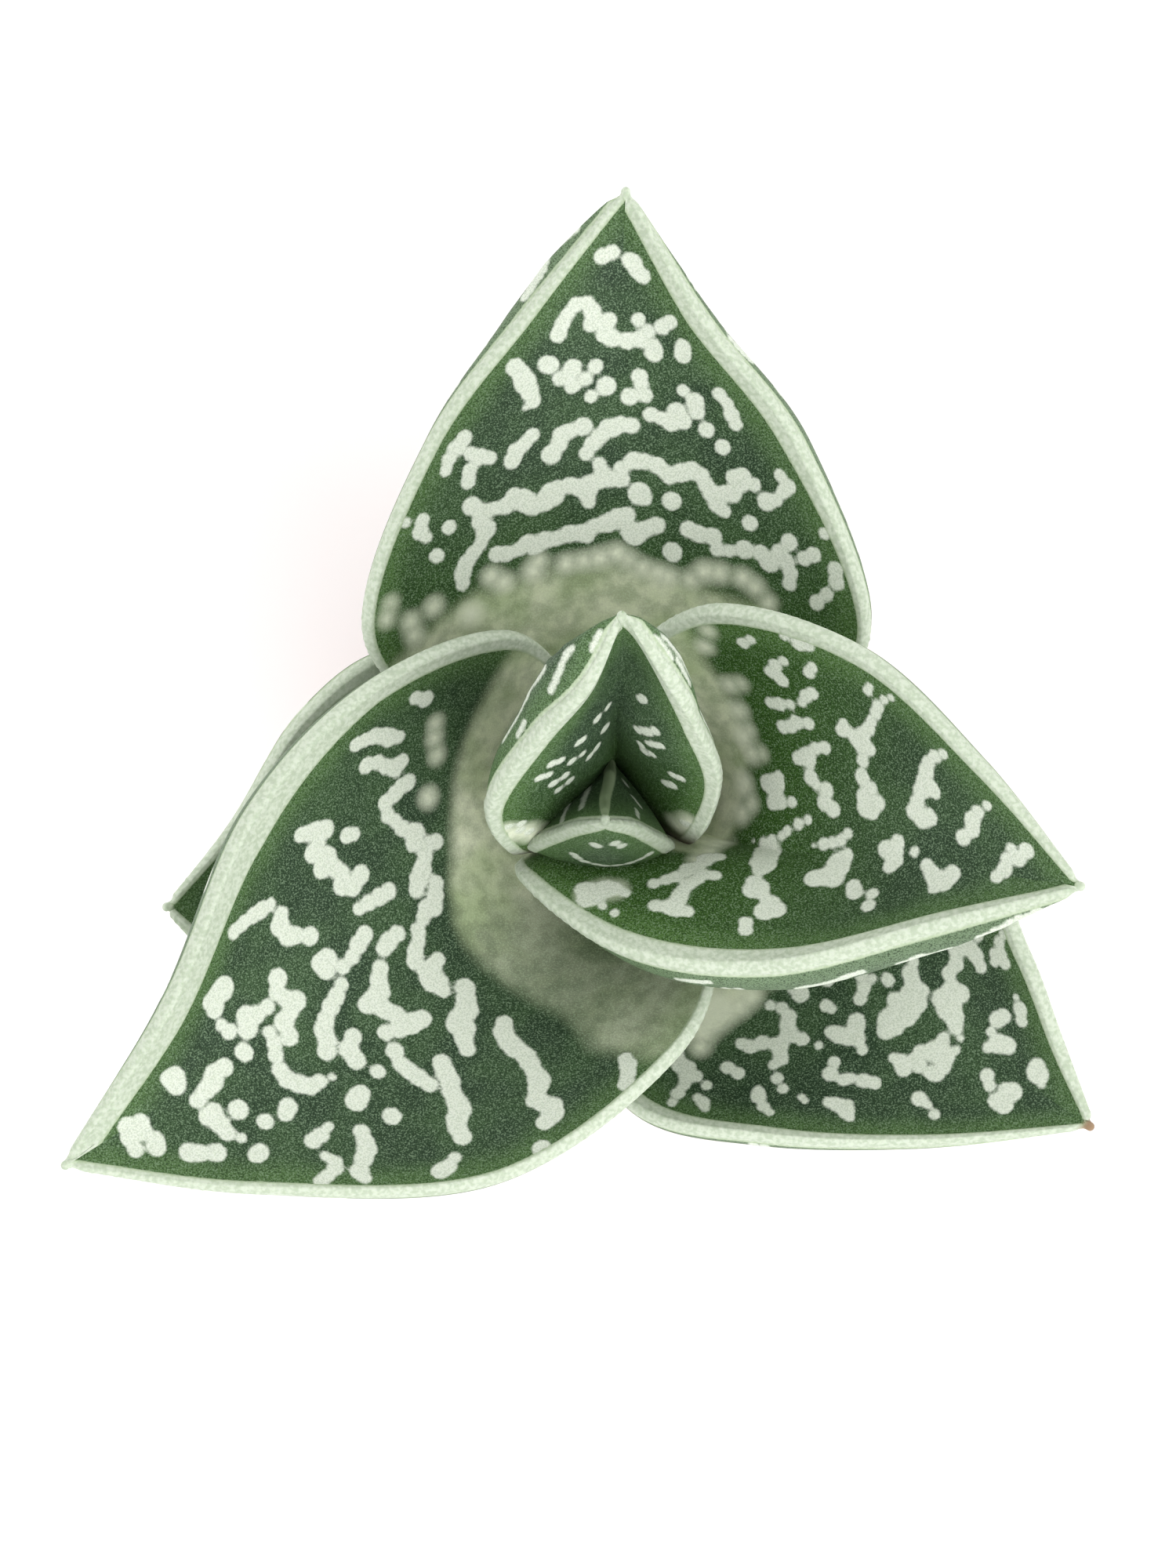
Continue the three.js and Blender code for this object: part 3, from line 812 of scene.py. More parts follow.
lower_right_spots = [
    [(83.2, -59, 0.5), (84.5, -52), (86, -44, 1.2), (86.9, -34, 1.3), (87.8, -25, 0.9),
     (88.2, -20, 0.5)],
    [(84.5, -48), (85.8, -38, 1.2)], [(84.9, 18, 1.1), (85.4, 28, 1.2), (84.9, 38, 1.2)],
    [(83.6, 20, 0.9), (83.8, 30, 1.1), (84.1, 38)],
    [(79.6, 14, 0.9), (80.5, 20, 1.1), (81, 24, 0.8)],
    [(78.3, -39, 1.1), (78.3, -30, 1.2), (76.8, -29, 1.2), (77, -18), (76.8, -14, 0.7)],
    [(71.9, -62, 0.9), (71.7, -57, 1.1), (72.6, -52, 1.1), (73.7, -45, 0.9), (74.4, -37, 0.6)],
    [(73, -76, 0.8), (71.7, -80, 0.9), (70, -83, 0.9), (68, -84, 0.5)],
    [(77.4, 66, 0.8), (76.3, 61, 0.9), (75.2, 57, 0.6)], [(73, 52), (72.4, 49), (73.5, 54, 0.7)],
    [(71.9, -3, 0.55)], [(72.8, 8, 0.6)],
    [(69.7, 4, 0.8), (70.4, 12, 1.1), (72.2, 20, 1.1), (73, 27), (72.6, 31, 0.9)],
    [(69.5, 15, 1.2), (68.2, 16), (67.8, 20, 0.9)], [(71.5, 31), (70, 31), (69.1, 28, 0.9)],
    [(68, 28), (67.5, 36, 0.9)], [(66.4, 31), (64.9, 30, 0.7)], [(71.3, 18), (69.7, 21, 0.8)],
    [(70.4, -8, 0.9), (69.5, -13, 1.1), (68.6, -20, 1.1), (67.5, -26, 0.9)],
    [(67.5, -17), (66.9, -20, 0.9)], [(66, -42, 1.1), (66.4, -34, 1.2), (66.9, -26)],
    [(65.1, -34, 1.2), (64.7, -24, 1.1)],
    [(63.8, -40, 0.9), (62, -44, 0.9), (61.1, -50, 0.95), (59.8, -57), (58.1, -62, 0.9)],
    [(66, -21, 0.9)], [(61.6, -71, 0.8), (60.3, -73, 0.9), (58.5, -74, 1.1), (57.6, -66)],
    [(61.1, -88, 0.8), (59.4, -87), (57.2, -91, 0.8), (55.9, -95, 0.7)],
    [(60.7, -82, 0.7), (59.4, -85, 0.7)],
    [(62, -18, 0.9), (62.5, -10), (62.7, -2), (63.8, 4, 0.7), (62, 5, 1.1), (62.2, 15, 0.9),
     (61.1, 18)],
    [(60.5, -12, 1.2), (60.3, -4, 1.1), (60.3, 4, 1.2), (59.8, 12, 1.1)],
    [(59.4, -20), (57.8, -24), (57, -31, 0.8)], [(58.7, 0, 0.8)],
    [(56.3, -9, 0.7), (55.2, -7, 0.7), (55.6, -10, 0.7)], [(54.1, -4, 0.6)],
    [(55.9, 20), (57.6, 28), (59.8, 33, 0.75)], [(56.7, 30, 1.1), (55, 30), (53.7, 31, 0.75)],
    [(56.7, 21, 0.9)], [(52.1, -3, 0.7), (53.7, 3, 0.8), (54.1, 9, 0.9)], [(51.5, 0, 0.5)],
    [(65.6, 50, 0.8), (63.8, 51, 0.95), (62, 52, 0.75)],
    [(61.1, 55, 0.8), (59.4, 54, 0.95), (58.3, 50, 0.9), (58.1, 45, 0.75)],
    [(67.5, 80, 0.6), (66, 76, 0.9), (64.7, 72, 1.1), (62.5, 71, 0.8)], [(65.1, 70, 0.8)],
    [(58.5, 71, 0.5), (59.6, 73, 0.45)], [(51.5, 20, 0.6), (50.1, 20, 0.75)],
    [(53.7, 40, 0.6), (52.3, 40, 0.8), (51, 40, 0.8)], [(50.1, 40, 0.7)],
    [(55, 69, 0.75), (53.2, 65, 0.85), (51.9, 61, 0.85), (51, 58, 0.7)],
    [(57.2, 85, 0.6), (55.4, 82, 0.8), (53.7, 78, 0.9), (52.3, 73, 0.7)],
    [(51, 54, 0.8), (49.7, 50, 0.9), (48.6, 47, 0.9)],
    [(48.6, 40, 1.1), (47.5, 38, 0.9), (47, 33, 0.9), (45.3, 31, 0.8), (42.9, 32, 0.7)],
    [(47.9, 47, 0.9), (46.2, 49, 0.9), (45.3, 55, 0.9), (44, 54, 0.75)],
    [(47.5, 67, 0.9), (45.5, 67, 0.9)], [(45.7, 21), (43.7, 20, 0.9)],
    [(47.9, 9, 0.7), (46.6, 9, 0.6)], [(49, 90, 0.6), (47.5, 87, 0.9), (46.2, 85, 0.7)],
    [(44.4, 92, 0.6), (43.5, 86, 0.9), (43.1, 81, 0.8), (41.3, 77, 0.9), (39.6, 75, 1.1),
     (38.5, 73, 0.8)],
    [(45.3, 78, 0.7), (43.1, 76, 0.8), (41.3, 75)], [(54.1, -88, 0.7), (55.9, -82, 0.8)],
]
lower_right_haze = [
    [(39.5, 34, 0.8), (38.5, 45), (38.5, 58), (39.5, 66, 0.7)], [(37, 45), (36, 60)],
]
fit(
    leaf_skin(
        "lower_right_leaf", lower_right, lower_right_spots, lower_right_haze,
        basin=[(-100, 44), (0, 44), (30, 41), (70, 38), (100, 30)], fresh_to=0.3, seed=11,
        spot_size=0.9, nib_brown=0.85,
    ),
    skin, "leaf", "leaf_lower_right",
)


# Lower left leaf
# The other lowest leaf, almost hidden by the front left one: only its far margin and its tip stand
# out from above.

lower_left = Leaf(
    rows=[
        [[1, -8, 49], [0, 0, 44], [-1, 8, 49]],
        [[-11, -15.5, 58], [-9.5, -2.5, 51], [-9.5, 15, 58]],
        [[-23.5, -20, 63], [-18, -5, 56], [-21.5, 15.4, 64]],
        [[-33, -17, 66], [-26.5, -6.5, 60], [-30, 9.3, 66]],
        [[-40, -12, 67], [-35, -8, 64], [-36.7, -1, 67]],
        [[-43.5, -9, 67], [-43.5, -9, 67], [-43.5, -9, 67]],
    ],
    depth=[4.5, 4.8, 4.8, 4.3, 3, 0.7],
    left_swell=0.3,
    right_swell=[0.4, 0.7, 0.8, 0.7, 0.2, 0.1],
    bands=([1.3, 1.3, 1.2, 0.9, 0.7, 0.5], [1.9, 1.9, 1.6, 1, 0.6, 0.5]),
)
lower_left_spots = [
    [(88, -30), (87, 0)], [(80, -50), (81, -30), (79, -10)], [(82, 30), (80, 45)],
    [(73, -60), (72, -45), (73, -30)], [(71, 5), (73, 20), (72, 35)], [(66, 62), (63, 66)],
    [(63, -70), (64, -50), (62, -35), (63, -20)], [(61, 10), (62, 30), (60, 45)],
    [(54, -75), (52, -60), (54, -45)], [(52, -20), (53, 0), (51, 20)], [(52, 60), (49, 68)],
    [(44, -60), (43, -40), (45, -20), (43, 0), (44, 25), (42, 50), (44, 70)],
]
fit(
    leaf_skin(
        "lower_left_leaf", lower_left, lower_left_spots, [],
        basin=[(-100, 36), (0, 40), (100, 34)], fresh_to=0.3, seed=12,
    ),
    skin, "leaf", "leaf_lower_left",
)


# Back leaf
# A broad older leaf that points away from the viewer. Its white spots run in wavy cross bands and
# blur into a pale grey-green hollow towards the stem.

back = Leaf(
    rows=[
        [[-8, -3, 53], [0, 0, 49], [8, -3, 53]],
        [[-17, 8.5, 64], [0, 11, 57], [17.5, 8.5, 64]],
        [[-23.5, 18, 71], [0, 23, 63.5], [23.8, 18, 71]],
        [[-17.5, 35, 75], [0.5, 35.5, 69], [17.3, 35.3, 75]],
        [[-8.5, 47.3, 77], [0.5, 47.5, 74], [8.3, 47, 77]],
        [[1, 59.5, 77], [1, 59.5, 77], [1, 59.5, 77]],
    ],
    depth=[6, 6.3, 6.3, 5.5, 3.8, 0.7],
    left_swell=[0.4, 0.4, 0.4, 0.5, 1.9, 2.6],
    right_swell=[0.4, 0.4, 0.9, 1.5, 1.2, 0.6],
    bands=([0.4, 0.4, 0.4, 0.6, 0.8, 0.7], [0.4, 0.4, 0.5, 1.6, 1.8, 1.2]),
)
back_spots = [
    [(89.7, -42), (90.4, -22)], [(89.4, 14, 0.8), (88.9, 30)], [(87.4, 30, 0.9), (87.2, 40)],
    [(77.6, -60)], [(79.5, -62), (81.6, -60), (82.2, -52), (82.2, -40), (81, -33)],
    [(79.3, -31, 0.9), (78.8, -24, 0.9), (79.2, -18, 0.9)], [(80, -13)],
    [(77.8, -15), (77.2, -8, 1.1)], [(80, 21, 0.95)],
    [(76.6, 8), (77, 18), (77.6, 28), (78.6, 38, 0.9), (79, 50, 0.9), (79.8, 62, 0.9)],
    [(76, 34), (74.8, 35, 1.1)], [(74.6, 59), (76, 64)],
    [(72.4, -80, 1.2), (71.2, -73, 1.2), (69.8, -66, 1.3), (68.4, -61, 1.1), (67.2, -57, 0.9)],
    [(66, -60, 0.4)], [(73, -59), (72.8, -55)], [(72.5, -37), (71, -40, 1.1), (70.6, -45)],
    [(69.6, -34)], [(73, -20), (71.4, -22, 1.1), (70.8, -25, 0.9)], [(69.8, -10, 1.15)],
    [(67.6, -20, 0.8)], [(71.3, 16)], [(69.6, 17, 0.8), (68.4, 19)], [(67.8, 8, 1.1)],
    [(69, 47.7, 0.75)], [(68.2, 72, 0.9)], [(66.5, 74, 0.85)], [(64.8, 73), (63.4, 73)],
    [(67, 53, 1.1), (65.6, 52)], [(62.7, 53.7, 0.95)], [(65.3, 21)], [(64.4, 27, 0.9)],
    [(65.4, 38, 1.1), (64, 34, 1.2), (64, 42)],
    [(61.2, -86), (59.6, -88), (58, -90), (57.3, -89, 0.8)], [(60.2, -91, 0.7)],
    [(59.4, -79, 0.9), (59, -74), (58.6, -69, 0.9)], [(57, -76), (55.6, -75)],
    [(62, -51), (61, -50), (59.6, -55), (58, -57, 1.1)], [(63.4, -22, 1.1)], [(62.6, -30)],
    [(62.2, -35), (60.6, -34, 1.1), (59, -37, 1.2)],
    [(63.4, -8, 1.1), (61.6, -12), (60.6, -16), (59.2, -18, 0.9)], [(62.6, -4, 0.8)],
    [(63.6, 0), (63.6, 8, 1.1)], [(60, 60)],
    [(52.4, -69, 1.1), (51.6, -64), (50.4, -64, 1.1), (49, -58, 1.1)],
    [(51.6, -58), (51.8, -52, 1.1)], [(53.4, -51, 0.9), (53, -46)],
    [(52, -44, 1.2), (51, -40, 1.2), (52, -36, 1.2), (52.6, -30, 1.1)],
    [(53.6, -34), (54.4, -26, 1.1), (54, -20)],
    [(54.6, -16, 1.2), (53, -15, 1.2), (51.8, -14, 0.9)],
    [(54.8, -10), (55.2, -4, 1.1), (55.6, 2, 1.1)], [(57.4, -11, 0.9), (56.2, -9)],
    [(57, 2), (58.4, 9), (58, 15), (57.6, 21)],
    [(56.6, 24), (55.6, 26), (56.6, 30, 1.1), (56.4, 36, 1.1), (57.2, 42), (56.4, 44, 1.1)],
    [(55, 45), (53.6, 48, 1.1), (52, 49, 1.1), (51.6, 51, 0.9)], [(54, 54), (54, 58, 1.1)],
    [(56, 60), (56.6, 66), (55.4, 70)], [(55.2, 63)],
    [(53.4, 73, 1.1), (53.2, 77, 0.9), (54.4, 82), (55, 87), (56.6, 85, 0.9)],
    [(53.4, 11, 1.35), (52.4, 13)], [(52.4, 26, 1.2)], [(50.4, 61, 1.05)], [(50.2, 94, 0.9)],
    [(51.4, -89), (50, -87, 1.1), (49, -84, 0.8)], [(50.2, -76)],
    [(47, -79, 0.8), (46.6, -76, 0.8)], [(51.8, -97, 0.8)],
    [(48.4, -59), (47.2, -59, 0.9), (45.6, -62), (44.6, -64), (43, -65, 1.1), (42, -64, 0.9)],
    [(45.4, -51), (44.8, -45, 1.1), (46.4, -39), (45.4, -36, 1.1), (46.2, -30, 1.1),
     (46.8, -24, 1.1), (47.4, -18, 1.1), (46.4, -13), (48, -10), (48.4, -5, 1.1), (49.4, 0, 1.2),
     (49.8, 5)],
    [(47.6, 6, 1.2), (46.8, 8, 1.2), (47.8, 13)], [(48.6, 18, 1.1)],
    [(45, 24, 1.3), (44, 25, 0.8)], [(48.6, 33, 1.2), (48, 36, 1.3), (47.8, 43, 1.1)],
    [(46, 44, 0.9), (46, 49, 0.9)], [(46.6, 55, 1.15)], [(46.6, 63), (45.6, 66, 1.2)],
    [(47.2, 71), (48.6, 77)], [(46.8, 82), (47.6, 86)], [(46, 74, 1.1)], [(44.6, 74), (43.2, 73)],
    [(46.4, 94), (45.2, 93)], [(43, 87, 0.9), (41.4, 83, 1.1)],
]
back_haze = [
    [(42.4, -52, 0.8), (40.8, -47, 0.8)], [(43.4, -34, 0.7), (41.8, -34, 0.8)], [(40, -76, 0.8)],
    [(38.6, -84, 0.7), (36.6, -84, 0.7)], [(42.6, -94, 0.6), (40.4, -93, 0.6)], [(37, -62, 0.9)],
    [(42.6, -20, 0.7), (43.4, -8, 0.8), (43.8, -1, 0.8), (42.6, 6, 0.7), (42, 12, 0.7),
     (41.6, 18, 0.7)],
    [(41, 24, 0.7)],
    [(41.4, 32, 0.7), (42.6, 38, 0.8), (42.6, 46, 0.8), (42.2, 54, 0.8), (41, 60, 0.7),
     (40, 64, 0.7)],
]
fit(
    leaf_skin(
        "back_leaf", back, back_spots, back_haze,
        basin=[(-100, 33), (-80, 37), (-60, 41), (0, 43), (30, 41), (65, 39), (80, 34), (100, 20)],
        fresh_to=0.62, seed=13, spot_size=0.88,
    ),
    skin, "leaf", "leaf_back",
)


# Front left leaf
# The longest leaf, which reaches forward to the left over the others. It carries the most spots,
# and its base is a pale hollow that the inner leaves sit in.

front_left = Leaf(
    rows=[
        [[7, -5, 57], [0, 0, 53], [-2.5, 11, 59]],
        [[9.5, -11.5, 68], [-8, -6, 60.5], [-9.5, 17, 70]],
        [[5.5, -22, 76], [-17, -11.5, 67], [-22.5, 12, 78]],
        [[-11, -33.8, 80], [-27, -18, 73], [-34, -0.2, 82]],
        [[-34, -35, 82], [-39, -25, 79], [-41.8, -18.2, 84]],
        [[-51.7, -32.9, 84], [-51.7, -32.9, 84], [-51.7, -32.9, 84]],
    ],
    depth=[6, 6.3, 6.3, 5.5, 3.8, 0.7],
    left_swell=[0.4, 0.5, 0.6, 0.6, 0.5, 0.4],
    right_swell=[0.4, 0.5, 1, 0.9, 0.4, 0.2],
    bands=([0.4, 0.3, 0.3, 0.4, 0.6, 0.8], [1.3, 1.3, 1.6, 3.4, 3, 2]),
)
front_left_spots = [
    [(91.3, -48), (91.6, -28), (91.4, -8), (91.4, 4)], [(89.7, -22), (89.8, -4)],
    [(88.8, -52), (88.7, -42)], [(85.6, -67, 1.1), (84.2, -68, 1.1), (82.6, -69, 1.1)],
    [(80.5, -51), (80.7, -42), (82, -33, 1.1), (80.7, -31)], [(78, -36, 1.1)], [(79.2, -58, 0.6)],
    [(78.4, -74), (77.8, -71, 1.1)], [(75.7, -48, 0.95)], [(73.2, -46), (72.4, -42)],
    [(82, -13, 0.9), (80.2, -9, 1.1), (78.8, -4, 1.1), (78.8, 1), (77, 0, 1.1)],
    [(74, 0), (73.9, 5, 0.9)],
    [(83.6, 13, 1.1), (83.2, 20, 1.3), (83.4, 27, 1.2), (84.2, 35, 0.8)],
    [(74.5, 25, 0.9), (75, 34, 0.8)], [(74.6, 50, 1.1), (74.8, 60, 1.1), (72.6, 55, 1.4)],
    [(72.4, -67, 0.9), (71, -62), (70, -59, 0.7)],
    [(74.2, -95, 0.8), (73, -89, 0.9), (71.6, -84), (72, -77, 0.6)],
    [(70.4, -93, 0.8), (70.3, -89)], [(68.8, -79), (67.8, -73, 1.1), (67.2, -64, 0.9)],
    [(67.6, -33, 0.8), (68.6, -35), (69.8, -31), (70.8, -25), (71, -19, 0.9)], [(65.8, -31, 0.5)],
    [(70.4, -10, 0.9), (69.8, -2, 0.9), (69.8, 6, 0.8)],
    [(72, 17, 1.1), (71.4, 26, 1.1), (70.4, 22), (68.6, 20, 0.9)],
    [(65.2, -47, 1.2), (64.4, -44, 1.1)], [(63.1, -59)],
    [(64, -93), (62.6, -90), (61.8, -87, 0.7)], [(67.8, -4), (67.2, 4, 0.9)],
    [(67.2, 6), (66, 9), (64.6, 12, 1.1)], [(65.6, 18, 0.9), (66.4, 23), (65.4, 28, 1.1)],
    [(64.4, -19), (63.4, -13), (63.4, -7), (61.6, -3), (60, 0), (59, 4, 1.1), (57.8, 5, 0.8)],
    [(62, -28, 1.2), (61.8, -22, 1.2), (60.4, -18, 1.1)], [(60.6, -37, 0.9)],
    [(58.4, 16), (57.6, 20, 1.2), (59, 20)], [(56, 12, 0.9), (54.4, 13), (52.6, 16), (50.6, 18)],
    [(59.4, -79, 1.1), (58.4, -72, 1.1), (57, -68, 1.2), (56, -61, 1.1), (54.6, -52), (53.6, -46)],
    [(57, -52), (57.2, -46), (57.8, -38), (57.2, -32)], [(55.4, -98)],
    [(56.4, -23, 0.9), (54.6, -24), (52.6, -25, 1.2), (51, -26)],
    [(53.4, -18, 1.1), (54.6, -14, 1.1)], [(56.4, -8), (54.8, -8, 1.2), (53.2, -6, 1.1)],
    [(52.6, -2), (51.2, 2)], [(58.6, 34), (60, 38), (61.6, 43, 1.1), (62, 50, 1.2), (61.2, 54)],
    [(62, 62, 0.9), (63.6, 65), (65.4, 68), (67.4, 71, 1.1), (68, 74)],
    [(54.4, 74), (52.6, 70, 1.1), (50.6, 66, 1.1)], [(53.4, 62, 1.1), (52.2, 63)],
    [(52.6, 54, 1.1), (51.4, 56, 1.2)], [(50.8, 49, 1.1), (50, 46)],
    [(50.6, 42, 1.1), (49, 38, 1.1), (47.4, 40, 1.2)], [(47.4, 57), (46.2, 55, 0.8)],
    [(49.6, 28, 0.9), (48, 28, 0.9), (46, 27), (44.2, 27)],
    [(49.4, 8, 0.9), (47.6, 9, 1.1), (46, 10, 0.9)],
    [(52.8, -90, 1.1), (50.8, -87, 1.2), (51.4, -80), (49, -76, 1.2), (47.8, -70, 1.1),
     (46.8, -64, 1.1), (46.2, -57, 1.1), (45.2, -50, 1.1), (43.6, -46)],
    [(50.2, -47), (48.8, -42, 1.1), (47.4, -38, 1.2), (48.4, -34), (45.8, -33, 1.2),
     (44, -29, 1.2), (42.6, -25, 1.2)],
    [(45.8, -20), (46.6, -13), (45.4, -11, 1.1), (43.6, -10, 1.1), (42.4, -9, 0.9)], [(44.6, -16)],
    [(46.2, -4, 1.1), (44.6, 0, 0.9), (43.2, 4, 0.8), (41.6, 8, 0.9), (40.4, 12, 1.1),
     (38.6, 11, 1.1), (37, 15, 1.1), (36.4, 18, 0.9)],
    [(39.8, 20), (38.8, 24, 1.1), (37.2, 27, 1.1), (36, 32, 1.1), (35, 34), (33.6, 33, 0.9)],
    [(37.6, 37, 1.1), (36, 41, 1.1), (38.4, 43), (39.2, 49, 0.9), (40.4, 54), (40.6, 58)],
    [(38.6, 59), (37, 60, 1.1), (36, 60)], [(38, 68, 1.1), (36.8, 69, 0.9)],
    [(39.4, 71), (41, 75), (42.4, 76)],
    [(43.6, 86), (41.6, 85), (39.8, 83), (37.8, 79, 1.1), (37, 78, 0.9)],
    [(34.4, 89, 0.9), (32.8, 87)], [(45.8, -97), (44, -94), (42.6, -90, 0.9)],
]
front_left_haze = [
    [(33.4, 51, 0.8)], [(31, 64, 0.7), (31.4, 70, 0.7), (31, 77, 0.7)],
]
# Its pale hollow is less pale on its left side, a painted shade near the front right leaf's
# underside
fit(
    leaf_skin(
        "front_left_leaf", front_left, front_left_spots, front_left_haze,
        basin=[
            (-100, 43, 0.6), (-78, 43, 0.5), (-70, 41, 0.45), (-60, 39, 0.4), (-46, 38.6, 0.4),
            (-12, 38.5, 0.6), (0, 37.5, 0.9), (15, 35),
            (25, 32.7), (37, 31), (60, 28), (100, 20),
        ],
        fresh_to=0.3, seed=14,
    ),
    skin, "leaf", "leaf_front_left",
)


# Front right leaf
# A younger leaf above the older ones, rolled round the two inner leaves at its base. Its green is
# fresher than theirs, and it shows a strip of its spotted underside.

front_right = Leaf(
    rows=[
        [[-1, 8, 61], [1, 0, 57], [-8, -4, 64]],
        [[1, 14.5, 72], [7.5, -1.5, 65], [-9.1, -5.7, 74]],
        [[9, 19, 81], [13.5, -3, 72], [0.4, -12.2, 82]],
        [[22.6, 14.8, 87], [22, -4, 78], [14.4, -13.6, 85]],
        [[34, 4, 90], [32.5, -5, 85], [30.1, -9.7, 88]],
        [[43, -6.5, 91], [43, -6.5, 91], [43, -6.5, 91]],
    ],
    depth=[6, 6, 5.8, 5.2, 3.6, 0.7],
    left_swell=[0.3, 0.3, 0.3, 0.2, 0.2, 0.1],
    right_swell=[0.4, 0.8, 1.9, 2.3, 2.3, 0.9],
    right_elbow=([0, 0.05, 0.15, 0.31, 0.38, 0.45], [0.6, 0.57, 0.4, 0.1, 0.04, 0]),
    bands=([1.1, 1.1, 1.2, 1.1, 0.7, 0.45], [0.9, 1.1, 1.8, 2.1, 1.4, 0.7]),
)
front_right_spots = [
    [(90, -55, 0.9), (90.3, -48, 1.1), (89.6, -39, 1.1), (88.8, -34, 0.9)],
    [(87.5, -43, 0.6), (87.3, -34, 0.75), (87.5, -23, 0.75), (87.1, -12, 0.8), (86.2, -2, 0.85),
     (86, 7, 0.7)],
    [(81.9, -75, 0.55), (81.6, -67, 0.75), (80.8, -59, 0.9), (80.3, -52, 0.95), (80.9, -45, 0.8),
     (80.4, -38, 0.95), (79.7, -31, 0.9)],
    [(78.5, 10, 0.9), (78.3, 20, 1.1), (77.3, 28, 1.1), (76.4, 38, 0.7)],
    [(73.9, 0, 0.75), (74.2, 8, 0.95), (75.6, 17), (76.4, 24)],
    [(73.8, -86, 0.6), (72.8, -79, 0.8), (72.1, -71, 0.85), (72, -62, 0.85), (71.6, -53, 0.9),
     (71.3, -44, 0.9), (70.8, -35, 0.95)],
    [(73.8, -56, 0.75), (72.9, -57, 0.9)], [(73.2, -35, 1.05), (72.5, -32)],
    [(72.1, -9, 0.45), (71.6, -9, 0.55)], [(68.9, -13, 0.8), (68.4, -8, 1.1), (67, -7, 0.85)],
    [(68.6, -2, 0.9), (68.1, 5, 0.9)], [(66.8, 39, 0.8), (67, 46, 1.1), (67.7, 52, 0.9)],
    [(63.3, 29, 0.85), (64, 36, 0.85)],
    [(65.2, -92, 0.45), (63.8, -86, 0.7), (63, -80, 0.8), (62.8, -74, 0.7), (62, -69, 0.75),
     (61, -63, 0.85), (60.9, -58, 0.9)],
    [(62.5, -59, 0.8), (60.6, -59)], [(61.4, -51, 0.8), (61.2, -43, 0.95)],
    [(64.6, -33, 0.85), (63.3, -30, 1.1)],
    [(63, -38, 0.7), (62.5, -34, 0.9), (62.5, -27, 1.1), (63.8, -25, 0.7)],
    [(62.2, -90, 0.5), (61.5, -87, 0.6)], [(59, -61, 0.7)], [(57.7, -64, 0.7), (57.2, -61, 0.75)],
    [(60.1, -1, 0.8), (59.6, 6, 1.1), (59.8, 14, 1.15), (59.3, 22, 1.1)],
    [(58.5, 8, 1.1), (58, 18, 1.1)], [(57.7, 23, 1.1), (56.1, 25)],
    [(59.6, -13, 0.6), (58.5, -9, 0.65), (56.6, -6, 0.65), (54.5, -4, 0.6), (53.2, -4, 0.35)],
    [(54.4, -50, 0.7), (52.6, -49, 0.75), (50.8, -45, 0.95), (48.9, -42, 0.8)],
    [(51.3, -42, 0.8), (51.6, -35, 0.85)],
    [(52.9, -32, 0.6), (55, -31, 0.9), (54.2, -27, 0.8), (55, -23, 0.95), (56.4, -22, 0.85)],
    [(53.2, -95, 0.85), (51.8, -94, 0.8)], [(53.3, -86, 0.7), (52.6, -82, 0.75)],
    [(52.6, -74, 0.75), (51.3, -70, 0.75), (50.5, -68, 0.6)],
    [(51.3, -59, 0.7), (49.2, -58, 0.8), (47, -55, 0.8), (46, -55, 0.7)],
    [(48.6, -65, 0.7), (46.5, -64, 0.8), (44.6, -64, 0.65)],
    [(48.9, -84, 0.6), (47.3, -81, 0.85), (46.2, -78, 0.8)], [(48.1, -75, 0.75), (47, -77, 0.7)],
    [(44.6, -91, 0.6), (43, -89, 0.75)], [(50.5, -97, 0.6), (49.7, -95, 0.5)],
    [(47.6, -22, 0.7), (45.4, -21, 0.8), (42.7, -20, 0.8)],
    [(44.4, -33, 0.6), (43.6, -29, 1.1), (41.7, -28, 0.95)], [(40.6, -29, 0.7)],
    [(43.3, -25, 0.8)],
    [(51.3, -14, 0.5), (49.2, -12, 0.65), (47, -9, 0.6), (45.4, -6, 0.5), (43.6, -4, 0.55),
     (41.1, -2, 0.5), (39.3, -2, 0.35)],
    [(43.6, 1), (45.2, 9, 1.2), (46.5, 18, 1.1), (46.8, 27, 0.8)],
    [(41.9, 2, 0.6), (43.8, 10), (45.2, 20, 0.9)], [(47.8, 38), (49.2, 42, 1.1), (48.4, 46)],
    [(50.5, 47, 0.7)], [(52.4, 54, 1.05), (54.2, 58, 1.1), (52.9, 60, 1.1)],
    [(52.1, 71, 0.85), (52.9, 77, 0.8)],
    [(41.9, 43, 0.8), (40.6, 44, 0.9), (40.6, 52, 0.8), (40.3, 58, 0.8), (41.1, 66, 0.9),
     (41.4, 72)],
    [(43.8, 72, 0.8), (41.9, 73), (39.5, 74, 0.9)],
    [(38.7, 27, 0.85), (37.4, 28, 0.95), (38.7, 38, 0.85), (38.2, 48, 0.8), (37.1, 58, 0.75),
     (36.3, 63, 0.7)],
    [(39, 44, 0.8), (37.7, 46, 0.9)], [(37.1, 33, 0.7)], [(34.5, 75, 0.7), (32.6, 76, 0.9)],
    [(35.8, 87, 0.6), (33.7, 87, 0.6)], [(32.1, 80, 1.1), (31.8, 90), (30.5, 85, 0.9)],
    [(29.7, 87, 0.7)],
]
front_right_haze = [
    [(37, 35, 0.6), (35.4, 20, 0.7), (33.5, 6, 0.8)], [(33.6, 76, 0.7), (31.5, 86, 0.8)],
    [(39.4, -72, 0.5), (37, -72, 0.7)], [(38.2, -61, 0.5), (36.5, -60, 0.7)],
    [(38, -51, 0.6), (36, -50, 0.8)], [(40.4, -42, 0.5), (37.6, -40, 0.7)], [(34.5, -28, 0.9)],
    [(37, -17, 0.6), (33.5, -14, 0.8)], [(37.5, -93, 0.6), (35.5, -88, 0.7)],
]
